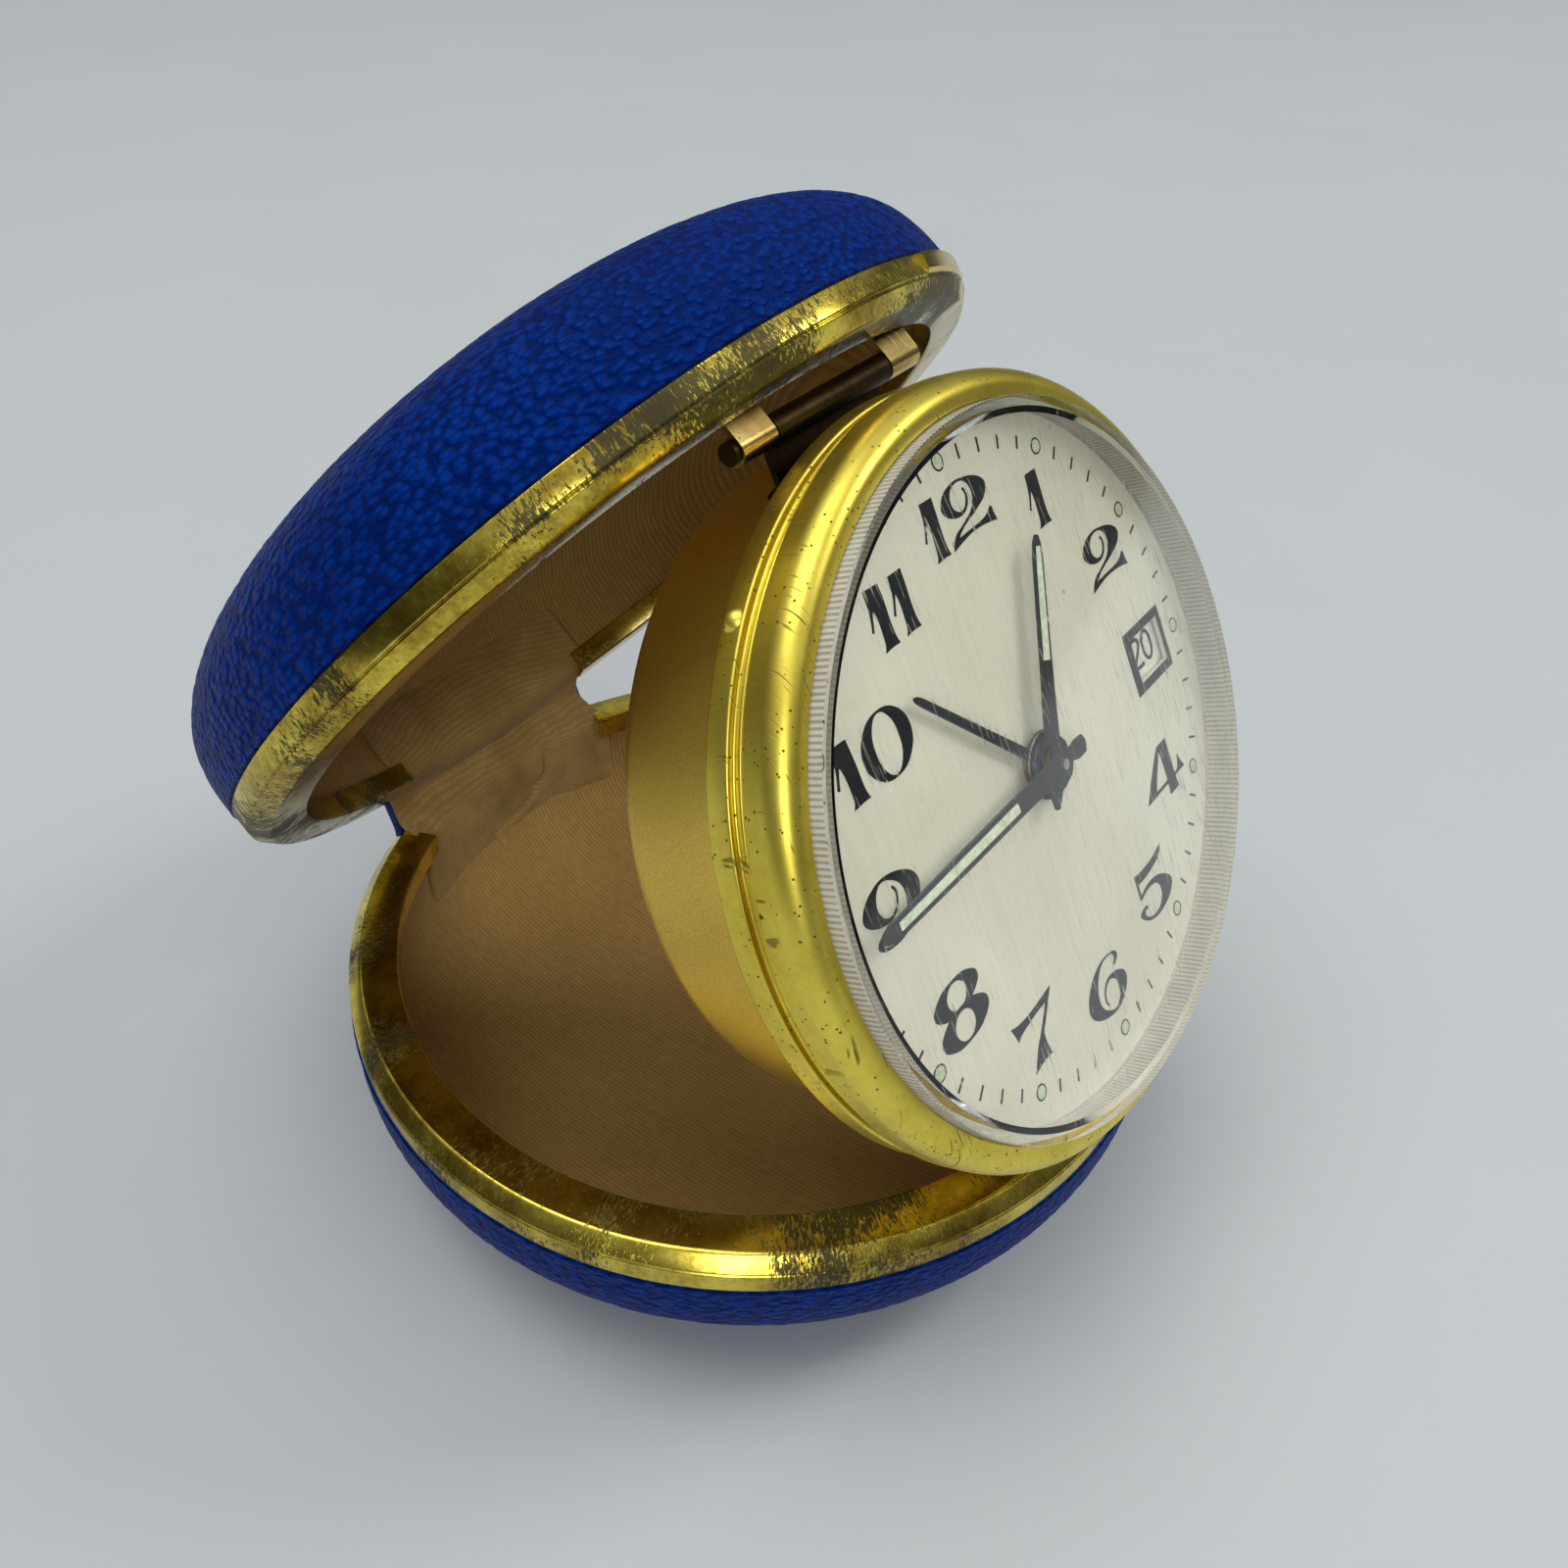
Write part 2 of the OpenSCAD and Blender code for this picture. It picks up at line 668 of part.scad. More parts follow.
module dial() {
    color("ivory")
        in_head()
            difference() {
                disc(dial_r, -dial_t, dial_t);
                rod(alarm_tube_r + run_gap, -dial_t - cut, cut);
                translate([window_in, -window_h / 2, -dial_t - cut])
                    cube([window_out - window_in, window_h, dial_t + 2 * cut]);
            }
}
pillar_r = 1.3;
screw_angles = [100, 230, 340];
screw_ring = back_plate_r - 2 * pillar_r;
screw_r = 0.6;
screw_head_r = 2.5 * screw_r;
screw_head_h = 1.2 * screw_r;
module case_screws() {
    color("silver")
        in_head()
            for (a = screw_angles)
                rotate([0, 0, a])
                    translate([screw_ring, 0, 0])
                        difference() {
                            union() {
                                rod(screw_head_r, back_out - screw_head_h, back_out - snug / 2);
                                rod(screw_r, back_out - screw_head_h / 2, -plate_back - back_plate_t - snug);
                            }
                            translate([-screw_head_r, -screw_head_h / 4, back_out - screw_head_h - cut])
                                cube([2 * screw_head_r, screw_head_h / 2, cut + screw_head_h / 2]);
                        }
}

// Movement frame
module arbor_holes(places, r, z0, z1) {
    for (p = places)
        at(p)
            rod(r, z0, z1);
}
train_places = [[0, 0], time_c, third_c, fourth_c, escape_c, pallet_c, balance_c, alarm_c,
    alarm_escape_c, hammer_c, alarm_set_c];
pillar_ring = back_plate_r - 1.2 * pillar_r;
pillar_angles = [75, 165, 255, 315];
module front_plate() {
    color("goldenrod")
        in_head()
            difference() {
                disc(front_plate_r, -plate_front - front_plate_t, front_plate_t);
                arbor_holes(concat(train_places, [minute_c]), arbor_r + run_gap,
                    -plate_front - front_plate_t - cut, -plate_front + cut);
            }
}
module back_plate() {
    color("goldenrod")
        in_head()
            difference() {
                disc(back_plate_r, -plate_back - back_plate_t, back_plate_t);
                arbor_holes(train_places, arbor_r + run_gap, -plate_back - back_plate_t - cut,
                    -plate_back + cut);
            }
}
module pillars() {
    color("goldenrod")
        in_head()
            for (a = pillar_angles)
                rotate([0, 0, a])
                    translate([pillar_ring, 0, 0])
                        rod(pillar_r, -plate_back + snug / 2, room_front - snug / 2);
}

// Wheels: thin pointed teeth that mesh with lantern pinions of round pins
wheel_rim_share = 3.2;
tooth_shares = [[-0.22, -1.1], [-0.16, 0], [-0.07, 0.8], [0.07, 0.8], [0.16, 0], [0.22, -1.1]];
function tooth_ring(n, m) = [for (i = [0:n - 1]) for (s = tooth_shares)
    polar(m * (n / 2 + s[1]), 360 / n * (i + s[0]))];
module wheel(n, m, z, t, spokes, phase = 0) {
    r = gear_r(n, m);
    rim = r - wheel_rim_share * m;
    hub = 3 * arbor_r;
    rotate([0, 0, phase])
        translate([0, 0, z])
            linear_extrude(t)
                difference() {
                    polygon(tooth_ring(n, m));
                    if (spokes > 0)
                        difference() {
                            circle(r = rim, $fn = fine);
                            circle(r = hub, $fn = small);
                            for (i = [0:spokes - 1])
                                rotate([0, 0, 360 / spokes * i])
                                    translate([0, -arbor_r])
                                        square([rim, 2 * arbor_r]);
                        }
                }
}
// Lantern pinion round a wheel of thickness t at level z, its caps just clear of the wheel
module lantern(n, m, z, t, phase = 0) {
    r = gear_r(n, m);
    pin = lantern_share * pi_value * m;
    for (c = [z - cap_over, z + t + cap_gap])
        disc(r + 1.4 * pin, c, cap_t);
    for (i = [0:n - 1])
        rotate([0, 0, phase + 360 / n * i])
            translate([r, 0, 0])
                rod(pin, z - cap_over, z + t + cap_over);
}
// Phase that sets a gap of an n pin lantern towards the wheel that drives it
function gap_to(a, n) = a + half_turn + half_turn / n;
module arbor(z0 = -plate_back - back_plate_t, z1 = -plate_front) {
    rod(arbor_r, z0, z1);
}
// The arbor of the hands turns in the hub of the centre wheel, so that the hands can be set
hub_r = 2 * arbor_r;
module centre_arbor() {
    color("silver")
        in_head() {
            rod(arbor_r, knob_top + level_gap, minute_top + hand_t + level_gap);
            lantern(cannon_pins, motion_mod, motion_z, motion_t, gap_to(minute_a, cannon_pins));
            rod(cannon_r, motion_z - cap_over, minute_top - snug);
        }
}
module centre_wheel() {
    color("gold")
        in_head()
            difference() {
                union() {
                    rod(hub_r, centre_z, room_front - snug);
                    wheel(centre_n, power_mod, centre_z, wheel_t, 5, third_a);
                    lantern(centre_pins, power_mod, time_z, wheel_t,
                        gap_to(time_a + half_turn, centre_pins));
                }
                rod(arbor_r + run_gap, centre_z - cut, room_front + cut);
            }
}
function hand_angle(hours) = 90 - 30 * hours;
minute_angle = 90 - 6 * rest_minute;
hour_angle = hand_angle(rest_hour + rest_minute / 60);
alarm_angle = hand_angle(rest_alarm);
// Outline of a hand and of the slot that holds its luminous paint, as shares of length and width
minute_shares = [[-0.155, 0.2], [-0.145, 0.75], [-0.1, 0.8], [-0.06, 0.5], [0, 1], [0.2, 0.86],
    [0.6, 0.8], [0.955, 0.68], [0.985, 0.48], [1, 0.16]];
minute_slot_shares = [[0.27, 0.42], [0.62, 0.39], [0.92, 0.34]];
hour_shares = [[-0.2, 0.2], [-0.13, 0.75], [0, 0.95], [0.2, 0.86], [0.33, 0.76], [0.9, 0.58],
    [0.965, 0.42], [1, 0.14]];
hour_slot_shares = [[0.33, 0.4], [0.6, 0.35], [0.87, 0.28]];
alarm_shares = [[0, 1.2], [0.95, 0.8], [0.985, 0.6], [1, 0.2]];
function mirrored(shares) = concat(shares,
    [for (i = [len(shares) - 1:-1:0]) [shares[i][0], -shares[i][1]]]);
function scaled(shares, length, width) = [for (s = shares) [s[0] * length, s[1] * width / 2]];
module hand(length, width, blade, slot, hub, bore, z) {
    difference() {
        union() {
            rod(hub, z, z + hand_t);
            translate([0, 0, z])
                linear_extrude(hand_t)
                    polygon(scaled(mirrored(blade), length, width));
        }
        rod(bore, z - cut, z + hand_t + cut);
        if (len(slot) > 0)
            translate([0, 0, z - cut])
                linear_extrude(hand_t + 2 * cut)
                    polygon(scaled(mirrored(slot), length, width));
    }
}
module minute_hand() {
    color("black")
        in_head()
            rotate([0, 0, minute_angle])
                hand(minute_len, minute_w, minute_shares, minute_slot_shares, 1.6 * cannon_r,
                    arbor_r + snug / 2, minute_top);
}
module hour_hand() {
    color("black")
        in_head()
            rotate([0, 0, hour_angle])
                hand(hour_len, hour_w, hour_shares, hour_slot_shares, 1.6 * hour_tube_r,
                    hour_tube_r, hour_top);
}
module alarm_hand() {
    color("black")
        in_head()
            rotate([0, 0, alarm_angle])
                hand(alarm_len, alarm_w, alarm_shares, [], alarm_hub_r, hour_tube_r + run_gap,
                    alarm_top);
}
module set_knob() {
    color("silver")
        in_head()
            fluted_knob(set_knob_r, back_out - 2 * level_gap, knob_top, 24);
}
module fluted_knob(r, z1, z0, flutes) {
    flute_r = 0.12 * r;
    difference() {
        union() {
            rod(r, z0, z1 - level_gap);
            rod(r * 0.6, z0, z1);
        }
        rod(arbor_r, z0 + level_gap, z1 + cut);
        for (i = [0:flutes - 1])
            rotate([0, 0, 360 / flutes * i])
                translate([r + flute_r * 0.5, 0, 0])
                    rod(flute_r, z0 - cut, z1 + cut);
    }
}
module minute_wheel() {
    color("gold")
        in_head()
            at(minute_c) {
                wheel(minute_n, motion_mod, motion_z, motion_t, 4, minute_a + half_turn);
                lantern(minute_pins, motion_mod, hour_z, wheel_t, gap_to(minute_a, minute_pins));
                rod(arbor_r, -plate_front - front_plate_t, hour_z);
            }
}
module hour_wheel() {
    color("gold")
        in_head()
            difference() {
                union() {
                    wheel(hour_n, motion_mod, hour_z, wheel_t, 0, minute_a);
                    rod(hour_tube_r, hour_z, hour_top + hand_t);
                }
                rod(cannon_r + run_gap, hour_z - cut, hour_top + cut);
            }
}
module alarm_wheel() {
    color("gold")
        in_head()
            difference() {
                union() {
                    wheel(alarm_n, motion_mod, alarm_z, wheel_t, 0, alarm_set_a);
                    rod(alarm_tube_r, alarm_z, alarm_top);
                }
                rod(hour_tube_r + run_gap, alarm_z - cut, alarm_top + cut);
            }
}
module alarm_setter() {
    color("gold")
        in_head()
            at(alarm_set_c) {
                rod(arbor_r, knob_top + level_gap, alarm_z + wheel_t + cap_over);
                lantern(alarm_pins, motion_mod, alarm_z, wheel_t, gap_to(alarm_set_a, alarm_pins));
            }
}
module alarm_knob() {
    color("silver")
        in_head()
            at(alarm_set_c)
                fluted_knob(alarm_knob_r, back_out - 2 * level_gap, knob_top, 20);
}
module date_ring() {
    color("white")
        in_head() {
            tube(date_out, date_in, date_top - date_t, date_top);
        }
}
barrel_wall = 0.5;
drum_teeth = 3.5;
spring_t = 0.3;
spring_gap = 0.1;
function spring_out(n) = gear_r(n, power_mod) - drum_teeth * power_mod - barrel_wall
    - spring_t / 2 - spring_gap;
module mainspring(n, turns) {
    spiral(arbor_r * 2 + spring_t / 2 + spring_gap, spring_out(n), turns, spring_t,
        barrel_back + barrel_wall + spring_gap, time_z - spring_gap);
}
module barrel(n, m, z_back) {
    r = gear_r(n, m);
    wall = barrel_wall;
    drum = r - drum_teeth * m;
    wheel(n, m, time_z, wheel_t, 0);
    tube(drum, drum - wall, z_back, time_z);
    tube(drum, arbor_r * 2 + run_gap, z_back, z_back + wall);
}
module spiral(r0, r1, turns, t, z0, z1) {
    steps = 20 * turns;
    function at_turn(i, off) = polar(r0 + (r1 - r0) * i / steps + off, 360 * turns * i / steps);
    translate([0, 0, z0])
        linear_extrude(z1 - z0)
            polygon(concat([for (i = [0:steps]) at_turn(i, t / 2)],
                [for (i = [steps:-1:0]) at_turn(i, -t / 2)]));
}
module time_barrel() {
    color("gold")
        in_head()
            at(time_c)
                difference() {
                    rotate([0, 0, time_a + 180])
                        barrel(time_n, power_mod, barrel_back);
                    rod(arbor_r * 2 + run_gap, barrel_back - cut, time_z + wheel_t + cut);
                }
}
module time_mainspring() {
    color("steelblue")
        in_head()
            at(time_c)
                mainspring(time_n, 9);
}
module key_arbor() {
    rod(arbor_r * 2, barrel_back - snug, room_front - snug);
    rod(arbor_r, -plate_back - back_plate_t - snug, -plate_front);
    rod(arbor_r * 0.9, key_top, -plate_back);
}
module time_arbor() {
    color("silver") in_head() at(time_c) key_arbor();
}
module key() {
    wing = key_w / 2;
    color("silver")
        difference() {
            union() {
                rod(2.4 * arbor_r, key_top - key_h, key_top + 2.4 * level_gap);
                translate([0, key_t / 2, 0])
                    rotate([90, 0, 0])
                        linear_extrude(key_t)
                            difference() {
                                hull()
                                    for (s = [-1, 1])
                                        translate([s * (wing - key_h / 2), key_top - key_h / 2])
                                            circle(r = key_h / 2, $fn = small);
                                for (s = [-1, 1])
                                    translate([s * (wing - key_h / 2), key_top - key_h / 2])
                                        circle(r = key_h / 4, $fn = small);
                            }
            }
            rod(arbor_r, key_top - level_gap, key_top + 3 * level_gap);
        }
}
module time_key() { in_head() at(time_c) rotate([0, 0, 115]) key(); }
module third_wheel() {
    color("gold")
        in_head()
            at(third_c) {
                arbor();
                lantern(third_pins, power_mod, centre_z, wheel_t, gap_to(third_a, third_pins));
                wheel(third_n, third_mod, third_z, wheel_t, 5, fourth_a);
            }
}
module fourth_wheel() {
    color("gold")
        in_head()
            at(fourth_c) {
                arbor();
                lantern(fourth_pins, third_mod, third_z, wheel_t, gap_to(fourth_a, fourth_pins));
                wheel(fourth_n, fourth_mod, fourth_z, wheel_t, 4, escape_a);
            }
}
escape_shares = [[-0.3, 0.78], [-0.02, 1], [0.06, 1], [0.12, 0.78]];
module escape_wheel() {
    color("silver")
        in_head()
            at(escape_c) {
                arbor();
                lantern(escape_pins, fourth_mod, fourth_z, wheel_t, gap_to(escape_a, escape_pins));
                translate([0, 0, escape_z])
                    linear_extrude(wheel_t)
                        difference() {
                            polygon([for (i = [0:escape_n - 1]) for (s = escape_shares)
                                polar(escape_r * s[1], 360 / escape_n * (i + s[0]) + pallet_a)]);
                            difference() {
                                circle(r = escape_r * 0.62, $fn = small);
                                circle(r = 3 * arbor_r, $fn = small);
                                for (i = [0:2])
                                    rotate([0, 0, 120 * i])
                                        translate([0, -arbor_r])
                                            square([escape_r, 2 * arbor_r]);
                            }
                        }
            }
}
// Pin lever: a fork with two upright pins that stand just clear of the escape wheel's teeth
module pallet_lever() {
    pin_a = 34;
    reach = pallet_d - escape_r * cos(pin_a) * 0.86;
    color("silver")
        in_head()
            at(pallet_c) {
                arbor();
                lever_z = escape_z + wheel_t + level_gap / 2;
                translate([0, 0, lever_z])
                    linear_extrude(wheel_t)
                        union() {
                            circle(r = 2.2 * arbor_r, $fn = small);
                            rotate([0, 0, balance_a])
                                polygon([[0, arbor_r], [balance_r * 0.62, arbor_r * 0.8],
                                    [balance_r * 0.8, arbor_r * 1.9], [balance_r * 0.85, arbor_r * 1.2],
                                    [balance_r * 0.72, 0], [balance_r * 0.85, -arbor_r * 1.2],
                                    [balance_r * 0.8, -arbor_r * 1.9], [balance_r * 0.62, -arbor_r * 0.8],
                                    [0, -arbor_r]]);
                            for (s = [-1, 1])
                                rotate([0, 0, pallet_a + 180 + s * 75])
                                    translate([0, -arbor_r])
                                        square([escape_r * 0.62, 2 * arbor_r]);
                        }
            }
}
module balance_wheel() {
    roller_z = escape_z + wheel_t + level_gap / 2;
    color("gold")
        in_head()
            at(balance_c) {
                arbor();
                disc(3 * arbor_r, roller_z - 1.6 * wheel_t, wheel_t);
                tube(balance_r, balance_r - 1.6 * arbor_r, balance_z, balance_z + balance_t);
                translate([0, 0, balance_z])
                    linear_extrude(balance_t / 2)
                        for (i = [0:2])
                            rotate([0, 0, 120 * i + 20])
                                translate([0, -arbor_r])
                                    square([balance_r - arbor_r, 2 * arbor_r]);
            }
}
spring_z = centre_z + 3 * wheel_t;
hair_t = 0.12;
collet_r = 1.75 * arbor_r;
module hairspring() {
    color("steelblue")
        in_head()
            at(balance_c) {
                spiral(collet_r, hairspring_r, 8, hair_t, spring_z, spring_z + wheel_t);
                tube(collet_r, arbor_r, spring_z, spring_z + wheel_t);
            }
}
regulator_a = -60;
regulator_len = 4.6;
regulator_t = 0.4;
module regulator() {
    ring_z = -plate_back - back_plate_t - regulator_t - 2 * snug;
    color("silver")
        in_head()
            at(balance_c)
                difference() {
                    union() {
                        disc(3.2 * arbor_r, ring_z, regulator_t);
                        rotate([0, 0, regulator_a]) {
                            translate([0, -arbor_r, ring_z])
                                cube([regulator_len, 2 * arbor_r, regulator_t]);
                            translate([regulator_len, 0, 0])
                                rod(arbor_r, back_out - 3 * regulator_t, ring_z + regulator_t);
                        }
                    }
                    rod(arbor_r + run_gap, ring_z - cut, ring_z + cut);
                }
}

// Alarm side
module alarm_barrel() {
    color("gold")
        in_head()
            at(alarm_c)
                difference() {
                    rotate([0, 0, alarm_escape_a])
                        barrel(alarm_great_n, power_mod, barrel_back);
                    rod(arbor_r * 2 + run_gap, barrel_back - cut, time_z + wheel_t + cut);
                }
}
module alarm_mainspring() {
    color("steelblue")
        in_head()
            at(alarm_c)
                mainspring(alarm_great_n, 5);
}
module alarm_arbor() {
    color("silver") in_head() at(alarm_c) key_arbor();
}
module alarm_key() { in_head() at(alarm_c) rotate([0, 0, 60]) key(); }
module alarm_escape_wheel() {
    color("gold")
        in_head()
            at(alarm_escape_c) {
                arbor();
                lantern(alarm_escape_pins, power_mod, time_z, wheel_t,
                    gap_to(alarm_escape_a, alarm_escape_pins));
                translate([0, 0, escape_z])
                    linear_extrude(wheel_t)
                        polygon([for (i = [0:13]) polar(alarm_escape_r * (i % 2 == 0 ? 1 : 0.7),
                            360 / 14 * i)]);
            }
}
module hammer() {
    arm_a = -30;
    arm_len = 0.34 * drum_in;
    color("silver")
        in_head()
            at(hammer_c) {
                arbor();
                translate([0, 0, escape_z + wheel_t + level_gap])
                    linear_extrude(wheel_t)
                        union() {
                            circle(r = 2 * arbor_r, $fn = small);
                            rotate([0, 0, arm_a])
                                translate([0, -arbor_r])
                                    square([arm_len, 2 * arbor_r]);
                        }
                rotate([0, 0, arm_a])
                    translate([arm_len, 0, 0])
                        rod(3 * arbor_r, escape_z - wheel_t, escape_z + 4 * wheel_t);
            }
}
stop_cap = 1.4;
module alarm_stop() {
    color("silver")
        in_head()
            at(stop_c) {
                rod(stop_r / 2, back_out - stop_travel - level_gap, back_out + stop_travel);
                rod(stop_r, back_out - stop_travel - level_gap - stop_cap,
                    back_out - stop_travel - level_gap);
            }
}

base_shell();
base_leather();
base_rim();
base_lining();
strap_base();
lid_shell();
lid_leather();
lid_rim();
lid_lining();
strap_lid();
opening_tab();
hinge_bracket();
hinge_pin();
case_drum();
case_flange();
hinge_leaf();
bezel();
crystal();
dial();
case_screws();
front_plate();
back_plate();
pillars();
minute_hand();
centre_arbor();
centre_wheel();
set_knob();
minute_wheel();
hour_hand();
hour_wheel();
alarm_hand();
alarm_wheel();
alarm_setter();
alarm_knob();
date_ring();
time_barrel();
time_mainspring();
time_arbor();
time_key();
third_wheel();
fourth_wheel();
escape_wheel();
pallet_lever();
balance_wheel();
hairspring();
regulator();
alarm_barrel();
alarm_mainspring();
alarm_arbor();
alarm_key();
alarm_escape_wheel();
hammer();
alarm_stop();
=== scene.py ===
"""Looks of a round folding travel alarm clock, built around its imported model.

Every length is in metres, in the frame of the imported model: the dial faces -Y and +Z is up.
"""

import math

import bpy
from mathutils import Matrix, Vector, noise

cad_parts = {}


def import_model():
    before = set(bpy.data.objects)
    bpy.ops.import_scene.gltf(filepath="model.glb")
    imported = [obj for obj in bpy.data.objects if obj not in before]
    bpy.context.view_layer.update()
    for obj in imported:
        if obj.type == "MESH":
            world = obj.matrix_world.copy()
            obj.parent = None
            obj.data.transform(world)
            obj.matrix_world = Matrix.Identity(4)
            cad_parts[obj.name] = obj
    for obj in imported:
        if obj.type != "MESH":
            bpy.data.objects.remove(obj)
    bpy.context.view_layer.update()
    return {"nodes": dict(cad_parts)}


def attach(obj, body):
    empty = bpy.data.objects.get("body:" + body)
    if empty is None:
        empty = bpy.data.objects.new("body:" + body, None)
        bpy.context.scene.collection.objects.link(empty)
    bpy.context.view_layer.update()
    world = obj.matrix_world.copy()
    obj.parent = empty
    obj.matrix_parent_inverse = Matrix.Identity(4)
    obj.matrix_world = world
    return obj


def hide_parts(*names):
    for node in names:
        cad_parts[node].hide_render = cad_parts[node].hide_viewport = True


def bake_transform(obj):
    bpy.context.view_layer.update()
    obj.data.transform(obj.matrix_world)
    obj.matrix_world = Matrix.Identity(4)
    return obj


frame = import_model()
bpy.ops.object.select_all(action="DESELECT")

mm = 0.001

# Case halves
RIM_R = 38 * mm
HALF_H = 18.4 * mm
BAND_H = 2.2 * mm
BEVEL = 1.15 * mm
LAND_W = 3.35 * mm
RIM_T = 0.7 * mm
LIP_H = 2.4 * mm
LEATHER_T = 0.85 * mm
LINING_T = 0.7 * mm
FOOT_CUT = 0.5 * mm
SIDE_POWER = 2.6
CROWN_POWER = 2.8
COLLAR_H = BEVEL + BAND_H
CASE_R = RIM_R - RIM_T
LEATHER_R = CASE_R + LEATHER_T
DOME_H = HALF_H + FOOT_CUT - COLLAR_H
LAND_R = RIM_R - BEVEL
OPENING_R = LAND_R - LAND_W
LINING_R = OPENING_R + 1.5 * mm

# Strap hinge
OPEN_ANGLE = math.radians(52.7)
HINGE_Y = RIM_R - 0.6 * mm
HINGE_RISE = 1.5 * mm
HINGE_DROP = 0.5 * mm
STRAP_W = 26.6 * mm

# Head hinge
PIVOT_REACH = 30.4 * mm
PIVOT_DROP = 1.6 * mm
PIVOT_BACK = 7.3 * mm
CLOCK_LEAN = math.radians(27)

# Clock head, with levels measured from the dial
DRUM_R = 26.3 * mm
FLANGE_R = 29.4 * mm
FLANGE_BACK = 4.9 * mm
FLANGE_BAND = 2 * mm
FLANGE_STEP = 0.6 * mm
SEAM_W = 0.6 * mm
BEZEL_R = 29.7 * mm
BEZEL_H = 2.1 * mm
CRYSTAL_R = 27.3 * mm
CRYSTAL_WALL = 3.1 * mm
CRYSTAL_TOP = 5 * mm
CRYSTAL_T = 0.9 * mm
DIAL_T = 0.4 * mm
DETENT_R = 1.1 * mm
DETENT_ANGLE = math.radians(42)
DATE_TOP = -0.6 * mm

# Hands: length, width, underside level and angle from three o'clock
HAND_T = 0.22 * mm
SPIN_STEPS = 300
MINUTE_HAND = (23.7 * mm, 1.9 * mm, 1.94 * mm, math.radians(-181.2))
HOUR_HAND = (17.1 * mm, 2 * mm, 1.32 * mm, math.radians(67.4))

# Places of the two halves and the head
BASE = Matrix.Translation((0, 0, HALF_H)) @ Matrix.Rotation(math.pi, 4, "Y")
LID = (Matrix.Translation((0, HINGE_Y, HALF_H + HINGE_RISE)) @ Matrix.Rotation(-OPEN_ANGLE, 4, "X")
       @ Matrix.Translation((0, -HINGE_Y, -HINGE_DROP)))
LID_PIVOT = LID @ Vector((0, -PIVOT_REACH, -PIVOT_DROP))
DIAL_Y = LID_PIVOT.y - PIVOT_REACH * math.sin(CLOCK_LEAN) - PIVOT_BACK * math.cos(CLOCK_LEAN)
DIAL_Z = LID_PIVOT.z - PIVOT_REACH * math.cos(CLOCK_LEAN) + PIVOT_BACK * math.sin(CLOCK_LEAN)
HEAD = Matrix.Translation((0, DIAL_Y, DIAL_Z)) @ Matrix.Rotation(math.pi / 2 - CLOCK_LEAN, 4, "X")


# Shader sockets as values in Python expressions

class Value:
    """A shader socket. An expression on it adds the Math nodes that work it out."""

    def __init__(self, tree, socket):
        self.tree = tree
        self.socket = socket

    def math(self, operation, *values):
        node = self.tree.nodes.new("ShaderNodeMath")
        node.operation = operation
        for place, value in enumerate(values):
            plug(self.tree, node.inputs[place], value)
        return Value(self.tree, node.outputs[0])

    def __add__(self, other):
        return self.math("ADD", self, other)

    def __radd__(self, other):
        return self.math("ADD", other, self)

    def __sub__(self, other):
        return self.math("SUBTRACT", self, other)

    def __rsub__(self, other):
        return self.math("SUBTRACT", other, self)

    def __mul__(self, other):
        return self.math("MULTIPLY", self, other)

    def __rmul__(self, other):
        return self.math("MULTIPLY", other, self)

    def __pow__(self, other):
        return self.math("POWER", self, other)

    def above(self, low, high):
        """0 under low, 1 over high and smooth between them"""
        node = self.tree.nodes.new("ShaderNodeMapRange")
        node.interpolation_type = "SMOOTHSTEP"
        for name, value in (("Value", self), ("From Min", low), ("From Max", high)):
            plug(self.tree, node.inputs[name], value)
        return Value(self.tree, node.outputs["Result"])


def plug(tree, socket, value):
    """Link a value to a socket, or set the socket to a number or colour"""
    if isinstance(value, Value):
        tree.links.new(value.socket, socket)
    elif isinstance(value, (tuple, list)) and len(value) == 3 and socket.type == "RGBA":
        socket.default_value = (*value, 1)
    else:
        socket.default_value = value


